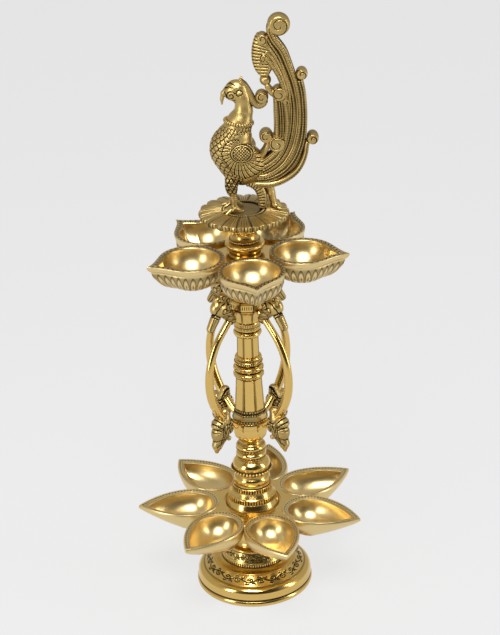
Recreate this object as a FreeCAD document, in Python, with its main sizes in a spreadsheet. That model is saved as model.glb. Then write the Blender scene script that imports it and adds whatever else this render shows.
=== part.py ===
import FreeCAD, Part
import math
import os

import Sketcher

os.makedirs("parts", exist_ok=True)

# Brass standing oil lamp with two tiers of wick bowls and a peacock finial.
# Millimetres. Z is the lamp's axis, Z = 0 the table, -Y the front.

doc = FreeCAD.newDocument("samai")
sheet = doc.addObject("Spreadsheet::Sheet", "Sizes")
values = {}


def size(alias, value):
    """Put one driving dimension in the sheet as a plain number with its word alias."""
    row = len(values) + 1
    sheet.set("A%d" % row, alias)
    sheet.set("B%d" % row, "%g" % value)
    sheet.setAlias("B%d" % row, alias)
    values[alias] = value
    return alias


# ---------------------------------------------------------------- driving dimensions
# Threaded studs and the running fit that each has in its bores
size("fit_clearance", 0.05)
size("column_stud_radius", 5.0)
size("spool_stud_radius", 4.0)
size("finial_stud_radius", 3.0)
size("hub_hole_clearance", 0.5)

# Top of the lotus seat, where the peacock stands
size("seat_top", 357.0)

# Lower tier: seven leaf-shaped bowls
size("lower_bowl_count", 7)
size("lower_first_angle", 80.4)
size("lower_rim_height", 81.0)
size("lower_bowl_centre", 54.6)
size("lower_bowl_radius", 23.2)
size("lower_tip_reach", 100.6)
size("lower_bowl_depth", 22.0)

# Upper tier: five round bowls with a short spout
size("upper_bowl_count", 5)
size("upper_first_angle", 59.9)
size("upper_rim_height", 322.6)
size("upper_bowl_centre", 48.5)
size("upper_bowl_radius", 27.3)
size("upper_tip_reach", 88.0)
size("upper_bowl_depth", 25.0)

size("bowl_wall", 1.6)

# Scroll arms
size("arm_count", 4)
size("arm_first_angle", 45.0)
size("arm_radius", 4.0)
size("arm_bow_radius", 56.8)
size("arm_bow_centre_r", -9.8)
size("arm_bow_centre_z", 213.5)
size("arm_bow_half_angle", 46.0)
size("arm_tail_length", 26.0)

# Lotus seat
size("petal_count", 16)
size("petal_notch_radius", 2.2)
size("petal_notch_reach", 38.8)

# Peacock
size("tail_thick", 15.0)
size("tail_thin", 12.0)
size("plume_thick", 7.0)
size("drape_thick", 10.0)
size("scroll_proud", 1.0)
size("leg_radius", 2.6)
size("foot_height", 3.0)
size("leg_spread", 7.0)
size("leg_forward", -8.0)
size("leg_top", 384.0)
size("prop_forward", 23.5)
size("prop_top", 382.0)

bore_column = values["column_stud_radius"] + values["fit_clearance"]
bore_spool = values["spool_stud_radius"] + values["fit_clearance"]
bore_finial = values["finial_stud_radius"] + values["fit_clearance"]
hub_bore_column = values["column_stud_radius"] + values["hub_hole_clearance"]
hub_bore_spool = values["spool_stud_radius"] + values["hub_hole_clearance"]

# ---------------------------------------------------------------- turned profiles
# Each row is a named point: radius, height and, for a curved edge, its radius to the next point
TURNED = {
    "base_foot": (
        ("rim_under", 49.8, 0.0, 3.1),
        ("rim_over", 50.2, 5.6),
        ("step_in", 49.4, 6.3),
        ("wall_low", 50.6, 7.2),
        ("wall_high", 50.2, 13.2, 7.0),
        ("shoulder", 44.6, 17.6),
        ("band_low", 44.0, 17.2),
        ("band_high", 36.2, 24.0),
        ("cove_out", 35.4, 24.6, -11.0),
        ("cove_in", 28.8, 26.4),
        ("tick_high", 28.6, 29.2),
        ("cone_low", 27.6, 30.4),
        ("cone_high", 24.0, 38.0),
        ("lip_low", 24.6, 38.4, 1.4),
        ("lip_high", 24.4, 41.0),
        ("seat_inner", 12.0, 41.0),
        ("seat_under", 12.0, 38.0),
        ("cone_inner", 21.2, 37.0),
        ("waist_inner", 25.4, 28.4),
        ("waist_low", 26.2, 24.0),
        ("band_inner", 34.6, 21.4),
        ("wall_inner", 46.6, 12.0),
        ("rim_inner", 47.0, 0.0),
    ),
    "base_neck": (
        ("flare_low", 19.6, 41.0, -9.0),
        ("waist_low", 17.4, 46.4),
        ("waist_high", 16.2, 60.0, -22.0),
        ("flare_high", 20.4, 68.6),
        ("lip", 20.4, 70.0),
        ("bore_top", bore_column, 70.0),
        ("bore_bottom", bore_column, 50.5),
        ("core_top", 12.6, 50.5),
        ("core_bottom", 13.4, 41.0),
    ),
    "stem_foot": (
        ("bore_low", bore_column, 79.0),
        ("flare_low", 23.4, 79.0, 2.6),
        ("flare_high", 23.0, 83.2),
        ("step", 21.2, 84.8, 2.3),
        ("bead_top", 21.0, 89.2, -6.5),
        ("cove_top", 15.6, 94.2, 2.4),
        ("ring_top", 15.4, 98.6, -9.0),
        ("waist_top", 14.2, 110.4, 1.9),
        ("bell_low", 14.4, 113.8, 4.0),
        ("bell_side", 16.4, 118.4, 9.0),
        ("bell_top", 11.6, 124.2),
        ("top", 11.2, 125.0),
        ("top_centre", 0.0, 125.0),
        ("bore_end", 0.0, 107.0),
        ("bore_edge", bore_column, 107.0),
    ),
    "stem_rings": (
        ("low_centre", 0.0, 125.0),
        ("low", 11.2, 125.0),
        ("first_low", 11.6, 125.8, 2.8),
        ("first_high", 11.4, 131.0),
        ("between", 10.4, 132.2),
        ("second_low", 11.6, 133.2, 2.7),
        ("second_high", 11.4, 138.2, -3.6),
        ("top", 9.0, 141.0),
        ("top_centre", 0.0, 141.0),
    ),
    "shaft_bands": (
        ("low_centre", 0.0, 203.0),
        ("low", 11.4, 203.0),
        ("first_low", 11.6, 203.8, 2.5),
        ("first_high", 11.4, 208.6),
        ("gap_one", 10.8, 209.4),
        ("second_low", 11.8, 210.2, 2.4),
        ("second_high", 11.6, 214.6),
        ("gap_two", 10.2, 215.4),
        ("third_low", 10.8, 216.2, 2.1),
        ("third_high", 10.6, 220.0),
        ("gap_three", 10.0, 220.8),
        ("dish_low", 11.8, 221.6),
        ("dish_high", 11.2, 223.2),
        ("top", 10.0, 224.0),
        ("top_centre", 0.0, 224.0),
    ),
    "shaft_knurl": (
        ("low_centre", 0.0, 243.0),
        ("low", 10.4, 243.0, 2.5),
        ("torus_high", 10.4, 247.8),
        ("knurl_low", 11.3, 249.4),
        ("knurl_high", 11.3, 255.8),
        ("top", 10.6, 257.0),
        ("top_centre", 0.0, 257.0),
    ),
    "capital_neck": (
        ("low_centre", 0.0, 277.0),
        ("low", 12.4, 277.0, -8.0),
        ("waist", 10.0, 284.0),
        ("rise", 10.0, 292.0, -9.0),
        ("seat_low", 13.6, 298.4),
        ("seat", 13.6, 300.0),
        ("bore_top", bore_spool, 300.0),
        ("bore_edge", bore_spool, 280.0),
        ("bore_end", 0.0, 280.0),
    ),
    "neck_spool": (
        ("bore_low", bore_spool, 319.0),
        ("foot_low", 13.4, 319.0),
        ("foot_high", 13.6, 323.4),
        ("collar_low", 15.0, 324.2, 2.6),
        ("collar_high", 14.8, 329.2),
        ("bead_low", 12.4, 329.8, 1.2),
        ("bead_high", 12.2, 332.0, -5.2),
        ("waist", 10.8, 338.6, -14.0),
        ("flare", 15.2, 350.6),
        ("top", 15.2, 352.0),
        ("finial_bore_top", bore_finial, 352.0),
        ("finial_bore_edge", bore_finial, 339.5),
        ("finial_bore_end", 0.0, 339.5),
        ("bore_end", 0.0, 337.5),
        ("bore_edge", bore_spool, 337.5),
    ),
    "lower_plate": (
        ("bore_low", hub_bore_column, 70.0),
        ("seat", 21.0, 70.0),
        ("web_low", 40.0, 75.0),
        ("web_high", 46.0, 79.2),
        ("edge", 45.0, 80.4),
        ("recess_high", 25.0, 80.4),
        ("recess_low", 24.9, 79.0),
        ("bore_high", hub_bore_column, 79.0),
    ),
    "upper_plate": (
        ("bore_low", hub_bore_spool, 300.0),
        ("seat", 14.6, 300.0),
        ("web_low", 31.0, 307.0),
        ("web_high", 36.0, 318.4),
        ("edge", 35.0, 320.0),
        ("recess_high", 15.2, 320.0),
        ("recess_low", 15.0, 319.0),
        ("bore_high", hub_bore_spool, 319.0),
    ),
    "lotus_seat": (
        ("bore_low", bore_finial, 352.0),
        ("underside", 15.6, 352.0),
        ("petal_under", 35.6, 351.4, 2.6),
        ("petal_edge", 36.4, 355.4),
        ("petal_top", 31.0, 357.0),
        ("top_centre", 0.0, 357.0),
        ("bore_end", 0.0, 355.6),
        ("bore_edge", bore_finial, 355.6),
    ),
}

# Flat-sided pieces: named polygons, each with its radius to the flats and its height
FACETED = {
    "stem_bulb": (
        ("low", 9.0, 141.0),
        ("swell_low", 12.0, 145.4),
        ("belly", 14.1, 150.6),
        ("swell_high", 13.2, 156.6),
        ("top", 11.6, 162.0),
    ),
    "stem_collar": (
        ("low", 13.2, 162.0),
        ("plate_low", 14.6, 164.2),
        ("plate_side", 14.6, 166.6),
        ("plate_high", 13.2, 171.2),
        ("top", 13.0, 174.0),
    ),
    "shaft_lower": (
        ("low", 12.7, 174.0),
        ("top", 11.1, 203.0),
    ),
    "shaft_upper": (
        ("low", 9.5, 224.0),
        ("top", 9.2, 243.0),
    ),
    "capital": (
        ("low", 10.8, 257.0),
        ("neck", 10.2, 260.6),
        ("swell", 11.8, 265.4),
        ("side_low", 13.9, 268.4),
        ("side_high", 13.9, 275.4),
        ("top", 12.8, 277.0),
    ),
}

# Threaded studs: the alias of the radius, then the heights of the two ends
STUDS = {
    "column_stud": ("column_stud_radius", 51.0, 106.0),
    "spool_stud": ("spool_stud_radius", 281.0, 336.8),
    "finial_stud": ("finial_stud_radius", 340.2, 355.2),
}
STUD_CHAMFER = 0.6
for label, (alias, low, high) in STUDS.items():
    radius = values[alias]
    TURNED[label] = (
        ("low_centre", 0.0, low),
        ("low_edge", radius - STUD_CHAMFER, low),
        ("low_side", radius, low + STUD_CHAMFER),
        ("high_side", radius, high - STUD_CHAMFER),
        ("high_edge", radius - STUD_CHAMFER, high),
        ("high_centre", 0.0, high),
    )

# Rounded masses of the castings: centre, semi-axes along their own X, Y, Z, and lean about Y
BLOBS = {
    "upper_neck": ((28.5, 0, 266.5), (4.6, 4.6, 11.0), 22),
    "upper_head": ((33.2, 0, 277.0), (7.6, 6.2, 8.8), 25),
    "upper_crest": ((27.5, 0, 281.0), (6.5, 3.0, 7.0), -20),
    "lower_head": ((34.6, 0, 161.5), (8.2, 6.2, 11.0), -24),
    "lower_throat": ((32.8, 0, 173.0), (5.6, 5.2, 7.4), 12),
    "breast": ((-9.6, 0, 408.0), (17.8, 16.0, 18.6), 10),
    "rump": ((-0.5, 0, 394.6), (17.0, 15.0, 18.0), -28),
    "throat": ((-3.5, 0, 429.0), (10.8, 10.5, 12.0), 5),
    "head": ((-3.6, 0, 459.0), (10.2, 7.4, 9.4), 12),
    "wing": ((-0.5, 12.5, 402.5), (14.5, 5.4, 10.4), 20),
}

for label, profile in TURNED.items():
    for entry in profile:
        size("%s_%s_r" % (label, entry[0]), entry[1])
        size("%s_%s_z" % (label, entry[0]), entry[2])
        if len(entry) > 3:
            size("%s_%s_curve" % (label, entry[0]), abs(entry[3]))
for label, sections in FACETED.items():
    for name, flat, z in sections:
        size("%s_%s_flat" % (label, name), flat)
        size("%s_%s_z" % (label, name), z)
for label, (centre, semi, lean) in BLOBS.items():
    for axis, value in zip("xyz", semi):
        size("%s_semi_%s" % (label, axis), value)
doc.recompute()

PIECES = {}


# ---------------------------------------------------------------- helpers
def plane(body, role):
    for feature in body.Origin.OriginFeatures:
        if feature.Role == role:
            return feature
    raise ValueError(role)


def new_body(label):
    body = doc.addObject("PartDesign::Body", label)
    body.Label = label
    PIECES[label] = body
    return body


def new_sketch(body, name, role, height=None):
    """Sketch on one of the body's own planes, lifted to a height of the sheet."""
    sketch = body.newObject("Sketcher::SketchObject", name)
    sketch.AttachmentSupport = [(plane(body, role), "")]
    sketch.MapMode = "FlatFace"
    if height is not None:
        sketch.setExpression("AttachmentOffset.Base.z", height)
    return sketch


def point_at(sketch, geo, end, alias_x, alias_y):
    """Hold one vertex of a sketch at two sheet values."""
    for kind, alias in (("DistanceX", alias_x), ("DistanceY", alias_y)):
        value = values[alias]
        if abs(value) < 1e-9:
            axis = -2 if kind == "DistanceX" else -1
            sketch.addConstraint(Sketcher.Constraint("PointOnObject", geo, end, axis))
            continue
        index = sketch.addConstraint(Sketcher.Constraint(kind, -1, 1, geo, end, value))
        sketch.setExpression("Constraints[%d]" % index, "Sizes." + alias)


def arc_between(start, end, radius):
    """Arc from start to end; a positive radius bulges to the right of the way from start to end."""
    chord = end - start
    half = chord.Length / 2
    lift = math.sqrt(radius * radius - half * half)
    normal = FreeCAD.Vector(-chord.y, chord.x, 0).normalize()
    side = 1 if radius > 0 else -1
    centre = (start + end) * 0.5 + normal * lift * side
    first = math.atan2(start.y - centre.y, start.x - centre.x)
    last = math.atan2(end.y - centre.y, end.x - centre.x)
    circle = Part.Circle(centre, FreeCAD.Vector(0, 0, 1), abs(radius))
    if side > 0:
        return Part.ArcOfCircle(circle, first, last), 1, 2
    return Part.ArcOfCircle(circle, last, first), 2, 1


def turned(label):
    """Body turned about Z from its closed profile."""
    profile = TURNED[label]
    body = new_body(label)
    sketch = new_sketch(body, label + "_profile", "XZ_Plane")
    points = []
    for entry in profile:
        aliases = ("%s_%s_r" % (label, entry[0]), "%s_%s_z" % (label, entry[0]))
        points.append((*aliases, FreeCAD.Vector(entry[1], entry[2], 0)))
    ends = []
    for index, entry in enumerate(profile):
        start = points[index][2]
        end = points[(index + 1) % len(points)][2]
        if len(entry) > 3:
            arc, first, last = arc_between(start, end, entry[3])
            geo = sketch.addGeometry(arc, False)
            ends.append((geo, first, last))
        else:
            geo = sketch.addGeometry(Part.LineSegment(start, end), False)
            ends.append((geo, 1, 2))
    for index, (geo, first, last) in enumerate(ends):
        after = ends[(index + 1) % len(ends)]
        sketch.addConstraint(Sketcher.Constraint("Coincident", geo, last, after[0], after[1]))
        point_at(sketch, geo, first, points[index][0], points[index][1])
    for index, entry in enumerate(profile):
        if len(entry) > 3:
            alias = "%s_%s_curve" % (label, entry[0])
            geo = ends[index][0]
            mark = sketch.addConstraint(Sketcher.Constraint("Radius", geo, abs(entry[3])))
            sketch.setExpression("Constraints[%d]" % mark, "Sizes." + alias)
    turn = body.newObject("PartDesign::Revolution", label + "_turn")
    turn.Profile = sketch
    turn.ReferenceAxis = (sketch, ["V_Axis"])
    turn.Angle = 360
    sketch.Visibility = False
    doc.recompute()
    return body


def polygon_sketch(body, name, sides, alias_flat, alias_z):
    """Regular polygon about Z with a flat on +X, at a height of the sheet."""
    sketch = new_sketch(body, name, "XY_Plane", "Sizes." + alias_z)
    flat = values[alias_flat]
    corner = flat / math.cos(math.pi / sides)
    ring = sketch.addGeometry(Part.Circle(FreeCAD.Vector(), FreeCAD.Vector(0, 0, 1), corner), True)
    sketch.addConstraint(Sketcher.Constraint("Coincident", ring, 3, -1, 1))
    corners = []
    for index in range(sides):
        angle = (2 * index - 1) * math.pi / sides
        corners.append(FreeCAD.Vector(corner * math.cos(angle), corner * math.sin(angle), 0))
    edges = []
    for index in range(sides):
        line = Part.LineSegment(corners[index], corners[(index + 1) % sides])
        edges.append(sketch.addGeometry(line, False))
    for index in range(sides):
        after = edges[(index + 1) % sides]
        sketch.addConstraint(Sketcher.Constraint("Coincident", edges[index], 2, after, 1))
        sketch.addConstraint(Sketcher.Constraint("PointOnObject", edges[index], 1, ring))
    for index in range(1, sides):
        sketch.addConstraint(Sketcher.Constraint("Equal", edges[0], edges[index]))
    sketch.addConstraint(Sketcher.Constraint("Vertical", edges[0]))
    mark = sketch.addConstraint(Sketcher.Constraint("DistanceX", -1, 1, edges[0], 1, flat))
    sketch.setExpression("Constraints[%d]" % mark, "Sizes." + alias_flat)
    return sketch


def faceted(label, sides):
    """Body with flat facets, lofted through regular polygons (name, flat radius, z)."""
    body = new_body(label)
    sketches = []
    for name, flat, z in FACETED[label]:
        alias_flat = "%s_%s_flat" % (label, name)
        alias_z = "%s_%s_z" % (label, name)
        sketches.append(polygon_sketch(body, "%s_%s" % (label, name), sides, alias_flat, alias_z))
    loft = body.newObject("PartDesign::AdditiveLoft", label + "_loft")
    loft.Profile = sketches[0]
    loft.Sections = sketches[1:]
    loft.Ruled = True
    doc.recompute()
    return body


def teardrop(c, r, t):
    """Round outline drawn out by two tangents to a spout."""
    half = math.acos(r / (t - c))
    middle = FreeCAD.Vector(c, 0, 0)
    circle = Part.Circle(middle, FreeCAD.Vector(0, 0, 1), r)
    upper = middle + FreeCAD.Vector(r * math.cos(half), r * math.sin(half), 0)
    lower = middle + FreeCAD.Vector(r * math.cos(half), -r * math.sin(half), 0)
    point = FreeCAD.Vector(t, 0, 0)
    back = Part.ArcOfCircle(circle, half, 2 * math.pi - half)
    return back, Part.LineSegment(point, upper), Part.LineSegment(lower, point)


def leaf(c, r, t):
    """Half a circle closed by two long arcs to a pointed tip."""
    swell = ((t - c) ** 2 + r * r) / (2 * r)
    slope = math.atan2(swell - r, t - c)
    up = FreeCAD.Vector(0, 0, 1)
    back = Part.ArcOfCircle(Part.Circle(FreeCAD.Vector(c, 0, 0), up, r), math.pi / 2, 1.5 * math.pi)
    left = Part.Circle(FreeCAD.Vector(c, r - swell, 0), up, swell)
    right = Part.Circle(FreeCAD.Vector(c, swell - r, 0), up, swell)
    return (back, Part.ArcOfCircle(left, slope, math.pi / 2),
            Part.ArcOfCircle(right, -math.pi / 2, -slope))


OUTLINES = {"lower": leaf, "upper": teardrop}


def bowl_section(body, name, tier, centre, radius, tip, height):
    """One level of a bowl: its outline about a centre on the X axis, with the tip on that axis."""
    sketch = new_sketch(body, name, "XY_Plane", height)
    edges = OUTLINES[tier](centre[1], radius[1], tip[1])
    arc, left, right = (sketch.addGeometry(edge, False) for edge in edges)
    sketch.addConstraint(Sketcher.Constraint("Tangent", left, 2, arc, 1))
    sketch.addConstraint(Sketcher.Constraint("Tangent", arc, 2, right, 1))
    sketch.addConstraint(Sketcher.Constraint("Coincident", right, 2, left, 1))
    sketch.addConstraint(Sketcher.Constraint("PointOnObject", arc, 3, -1))
    sketch.addConstraint(Sketcher.Constraint("PointOnObject", left, 1, -1))
    bindings = [((arc, 3), centre), ((left, 1), tip)]
    if OUTLINES[tier] is leaf:
        bindings += [((left, 3), centre), ((right, 3), centre)]
    for vertex, (text, value) in bindings:
        mark = sketch.addConstraint(Sketcher.Constraint("DistanceX", -1, 1, *vertex, value))
        sketch.setExpression("Constraints[%d]" % mark, text)
    mark = sketch.addConstraint(Sketcher.Constraint("Radius", arc, radius[1]))
    sketch.setExpression("Constraints[%d]" % mark, radius[0])
    return sketch


# Outline of a bowl on its way down: share of the depth, of the radius, and of the tip's length
BOWL_LEVELS = (
    (0.00, 1.00, 1.00),
    (0.22, 0.965, 0.90),
    (0.48, 0.86, 0.76),
    (0.72, 0.69, 0.61),
    (0.90, 0.46, 0.44),
    (1.00, 0.26, 0.30),
)
# Least reach of a tip from the bowl's centre, as a share of the radius there
SHORTEST_TIP = 1.05
SHORTEST_HOLLOW_TIP = 1.03


def bowl_skin(body, tier, name, wall):
    """Sections of a bowl's outer skin, or of its hollow when wall names a thickness."""
    sketches = []
    drop = " - Sizes.%s" % wall if wall else ""
    thick = values[wall] if wall else 0.0
    c = values[tier + "_bowl_centre"]
    full = values[tier + "_bowl_radius"]
    reach = values[tier + "_tip_reach"] - c
    for index, (down, wide, long) in enumerate(BOWL_LEVELS):
        centre = ("Sizes.%s_bowl_centre" % tier, c)
        radius = ("Sizes.%s_bowl_radius * %g%s" % (tier, wide, drop), full * wide - thick)
        start = max(reach * long, full * wide * SHORTEST_TIP)
        span = "(Sizes.%s_tip_reach - Sizes.%s_bowl_centre)" % (tier, tier)
        if start > reach * long:
            grow = "Sizes.%s_bowl_radius * %g" % (tier, wide * SHORTEST_TIP)
        else:
            grow = "%s * %g" % (span, long)
        tip_text = "Sizes.%s_bowl_centre + %s" % (tier, grow)
        tip_value = c + start
        if wall:
            tip_text += " - Sizes.%s * 2" % wall
            tip_value -= thick * 2
            if tip_value - c < radius[1] * SHORTEST_HOLLOW_TIP:
                tip_text = "%s + (%s) * %g" % (centre[0], radius[0], SHORTEST_HOLLOW_TIP)
                tip_value = c + radius[1] * SHORTEST_HOLLOW_TIP
            level = "Sizes.%s_rim_height - (Sizes.%s_bowl_depth - Sizes.%s) * %g"
            level = level % (tier, tier, wall, down)
        else:
            level = "Sizes.%s_rim_height - Sizes.%s_bowl_depth * %g" % (tier, tier, down)
        label = "%s_%s_%d" % (body.Name, name, index)
        tip = (tip_text, tip_value)
        sketches.append(bowl_section(body, label, tier, centre, radius, tip, level))
    return sketches


def bowl(label, tier, index):
    """One wick bowl of a tier, turned to its place about the axis."""
    body = new_body(label)
    outer = bowl_skin(body, tier, "outer", None)
    skin = body.newObject("PartDesign::AdditiveLoft", label + "_skin")
    skin.Profile = outer[0]
    skin.Sections = outer[1:]
    doc.recompute()
    inner = bowl_skin(body, tier, "inner", "bowl_wall")
    hollow = body.newObject("PartDesign::SubtractiveLoft", label + "_hollow")
    hollow.Profile = inner[0]
    hollow.Sections = inner[1:]
    doc.recompute()
    angle = "Sizes.%s_first_angle - %d * 360 / Sizes.%s_bowl_count" % (tier, index, tier)
    body.setExpression("Placement.Rotation.Angle", angle)
    body.Placement.Rotation.Axis = FreeCAD.Vector(0, 0, 1)
    return body


def ribbon_outline(sketch, points, widths):
    """Closed band of varying width along a centre line, blocked in its sketch."""
    line = Part.BSplineCurve()
    line.interpolate([FreeCAD.Vector(x, z, 0) for x, z in points])
    count = 4 * len(points)
    left = []
    right = []
    for step in range(count + 1):
        share = step / count
        parameter = line.FirstParameter + share * (line.LastParameter - line.FirstParameter)
        place = line.value(parameter)
        along = line.tangent(parameter)[0]
        normal = FreeCAD.Vector(-along.y, along.x, 0)
        slot = share * (len(widths) - 1)
        low = min(int(slot), len(widths) - 2)
        half = (widths[low] + (widths[low + 1] - widths[low]) * (slot - low)) / 2
        left.append(place + normal * half)
        right.append(place - normal * half)
    edge_left = Part.BSplineCurve()
    edge_left.interpolate(left)
    edge_right = Part.BSplineCurve()
    edge_right.interpolate(list(reversed(right)))
    first = sketch.addGeometry(edge_left, False)
    cap = sketch.addGeometry(Part.LineSegment(left[-1], right[-1]), False)
    second = sketch.addGeometry(edge_right, False)
    close = sketch.addGeometry(Part.LineSegment(right[0], left[0]), False)
    for geo in (first, cap, second, close):
        sketch.addConstraint(Sketcher.Constraint("Block", geo))


def pad_both_ways(body, sketch, name, length):
    pad = body.newObject("PartDesign::Pad", name)
    pad.Profile = sketch
    pad.Midplane = True
    pad.setExpression("Length", length)
    sketch.Visibility = False
    doc.recompute()
    return pad


def ribbon(body, name, points, widths, thickness):
    sketch = new_sketch(body, name + "_outline", "XZ_Plane")
    ribbon_outline(sketch, points, widths)
    return pad_both_ways(body, sketch, name, thickness)


def disc(body, name, x, z, radius, thickness):
    sketch = new_sketch(body, name + "_outline", "XZ_Plane")
    circle = Part.Circle(FreeCAD.Vector(x, z, 0), FreeCAD.Vector(0, 0, 1), radius)
    geo = sketch.addGeometry(circle, False)
    for kind, value in (("DistanceX", x), ("DistanceY", z)):
        sketch.addConstraint(Sketcher.Constraint(kind, -1, 1, geo, 3, value))
    sketch.addConstraint(Sketcher.Constraint("Radius", geo, radius))
    return pad_both_ways(body, sketch, name, thickness)


def ellipsoid(name, number="", spin=0.0, side=1):
    """Ellipsoid of the table, leaned about Y and then spun about Z."""
    centre, semi, tilt = BLOBS[name]
    piece = doc.addObject("Part::Ellipsoid", "%s_blob%s" % (name, number))
    for prop, axis in zip(("Radius2", "Radius3", "Radius1"), "xyz"):
        piece.setExpression(prop, "Sizes.%s_semi_%s" % (name, axis))
    centre = (centre[0], centre[1] * side, centre[2])
    turn = FreeCAD.Rotation(FreeCAD.Vector(0, 0, 1), spin)
    lean = FreeCAD.Rotation(FreeCAD.Vector(0, 1, 0), tilt)
    piece.Placement = FreeCAD.Placement(turn.multVec(FreeCAD.Vector(*centre)), turn.multiply(lean))
    return piece


def spike(name, base, tip, wide, narrow, spin):
    """Cone from one point to another in the XZ plane, then spun about Z."""
    piece = doc.addObject("Part::Cone", name)
    start = FreeCAD.Vector(*base)
    way = FreeCAD.Vector(*tip) - start
    piece.Radius1 = wide
    piece.Radius2 = narrow
    piece.Height = way.Length
    turn = FreeCAD.Rotation(FreeCAD.Vector(0, 0, 1), spin)
    lean = FreeCAD.Rotation(FreeCAD.Vector(0, 0, 1), way)
    piece.Placement = FreeCAD.Placement(turn.multVec(start), turn.multiply(lean))
    return piece


def joined(name, pieces):
    whole = doc.addObject("Part::MultiFuse", name)
    whole.Shapes = pieces
    doc.recompute()
    return whole


def trimmed(label, piece, tool):
    """The piece with the space of another taken out of it, so that the two only touch."""
    cut = doc.addObject("Part::Cut", label)
    cut.Label = label
    cut.Base = piece
    cut.Tool = tool
    PIECES[label] = cut
    doc.recompute()
    return cut


# ---------------------------------------------------------------- base
turned("base_foot")

turned("base_neck")

# ---------------------------------------------------------------- tiers of bowls
def tier(name, count):
    """Wick bowls of one tier and the hub they are brazed to."""
    bowls = []
    for index in range(count):
        bowls.append(bowl("%s_diya_%d" % (name, index + 1), name, index))
    doc.recompute()
    plate = turned(name + "_plate")
    del PIECES[name + "_plate"]
    skins = []
    for index, body in enumerate(bowls):
        skin = body.Group[0]
        for feature in body.Group:
            if feature.Name.endswith("_skin"):
                skin = feature
        copy = doc.addObject("Part::Feature", "%s_blank_%d" % (name, index + 1))
        copy.Shape = skin.Shape.copy()
        copy.Placement = body.Placement
        skins.append(copy)
    return trimmed(name + "_hub", plate, joined(name + "_blanks", skins))


tier("lower", int(values["lower_bowl_count"]))

# ---------------------------------------------------------------- column
turned("stem_foot")

turned("stem_rings")

FACETS = 8
faceted("stem_bulb", FACETS)

faceted("stem_collar", FACETS)

faceted("shaft_lower", FACETS)

turned("shaft_bands")

faceted("shaft_upper", FACETS)

turned("shaft_knurl")

faceted("capital", FACETS)

turned("capital_neck")

# ---------------------------------------------------------------- scroll arms with bird heads
def arm_rod(label, spin):
    """Round rod bowed outward between the capital and the lower collar."""
    body = new_body(label)
    path = new_sketch(body, label + "_path", "XZ_Plane")
    half = math.radians(values["arm_bow_half_angle"])
    radius = values["arm_bow_radius"]
    centre = FreeCAD.Vector(values["arm_bow_centre_r"], values["arm_bow_centre_z"], 0)
    circle = Part.Circle(centre, FreeCAD.Vector(0, 0, 1), radius)
    bow = path.addGeometry(Part.ArcOfCircle(circle, -half, half), False)
    low = centre + FreeCAD.Vector(math.cos(half), -math.sin(half), 0) * radius
    high = centre + FreeCAD.Vector(math.cos(half), math.sin(half), 0) * radius
    length = values["arm_tail_length"]
    inward = FreeCAD.Vector(-math.sin(half), math.cos(half), 0) * length
    high_end = high + inward
    low_end = low + FreeCAD.Vector(inward.x, -inward.y, 0)
    low_line = path.addGeometry(Part.LineSegment(low_end, low), False)
    high_line = path.addGeometry(Part.LineSegment(high, high_end), False)
    path.addConstraint(Sketcher.Constraint("Tangent", low_line, 2, bow, 1))
    path.addConstraint(Sketcher.Constraint("Tangent", bow, 2, high_line, 1))
    bindings = (
        ("Radius", (bow,), radius, "arm_bow_radius"),
        ("DistanceX", (-1, 1, bow, 3), centre.x, "arm_bow_centre_r"),
        ("DistanceY", (-1, 1, bow, 3), centre.y, "arm_bow_centre_z"),
        ("Distance", (low_line,), length, "arm_tail_length"),
        ("Distance", (high_line,), length, "arm_tail_length"),
    )
    for kind, where, value, alias in bindings:
        mark = path.addConstraint(Sketcher.Constraint(kind, *where, value))
        path.setExpression("Constraints[%d]" % mark, "Sizes." + alias)
    for end, height in ((low, low.y), (high, high.y)):
        vertex = 1 if end is low else 2
        path.addConstraint(Sketcher.Constraint("DistanceY", -1, 1, bow, vertex, height))
    doc.recompute()
    ring = body.newObject("Sketcher::SketchObject", label + "_section")
    ring.AttachmentSupport = [(path, "Edge1")]
    ring.MapMode = "NormalToEdge"
    ring.MapPathParameter = 0.0
    circle_geo = ring.addGeometry(
        Part.Circle(FreeCAD.Vector(), FreeCAD.Vector(0, 0, 1), values["arm_radius"]), False)
    ring.addConstraint(Sketcher.Constraint("Coincident", circle_geo, 3, -1, 1))
    mark = ring.addConstraint(Sketcher.Constraint("Radius", circle_geo, values["arm_radius"]))
    ring.setExpression("Constraints[%d]" % mark, "Sizes.arm_radius")
    doc.recompute()
    pipe = body.newObject("PartDesign::AdditivePipe", label + "_pipe")
    pipe.Profile = ring
    pipe.Spine = path
    doc.recompute()
    body.Placement = FreeCAD.Placement(
        FreeCAD.Vector(), FreeCAD.Rotation(FreeCAD.Vector(0, 0, 1), spin))
    return body


column_core = joined("column_core", [PIECES["capital"], PIECES["stem_collar"],
                                     PIECES["stem_bulb"], PIECES["shaft_lower"]])
for index in range(int(values["arm_count"])):
    spin = values["arm_first_angle"] + 360.0 * index / values["arm_count"]
    number = index + 1
    raw = arm_rod("arm_raw_%d" % number, spin)
    del PIECES["arm_raw_%d" % number]
    rod = trimmed("arm_rod_%d" % number, raw, column_core)
    upper = joined("upper_bird_raw_%d" % number, [
        ellipsoid("upper_neck", number, spin),
        ellipsoid("upper_head", number, spin),
        ellipsoid("upper_crest", number, spin),
        spike("upper_beak_%d" % number, (36.4, 0, 271.5), (43.6, 0, 261.6), 4.4, 3.0, spin),
    ])
    trimmed("arm_upper_bird_%d" % number, upper, rod)
    lower = joined("lower_bird_raw_%d" % number, [
        ellipsoid("lower_head", number, spin),
        spike("lower_beak_%d" % number, (37.4, 0, 155.5), (41.5, 0, 145.5), 4.8, 1.4, spin),
        ellipsoid("lower_throat", number, spin),
    ])
    trimmed("arm_lower_bird_%d" % number, lower, rod)

tier("upper", int(values["upper_bowl_count"]))

turned("neck_spool")

# ---------------------------------------------------------------- threaded studs
for label in STUDS:
    turned(label)

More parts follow.
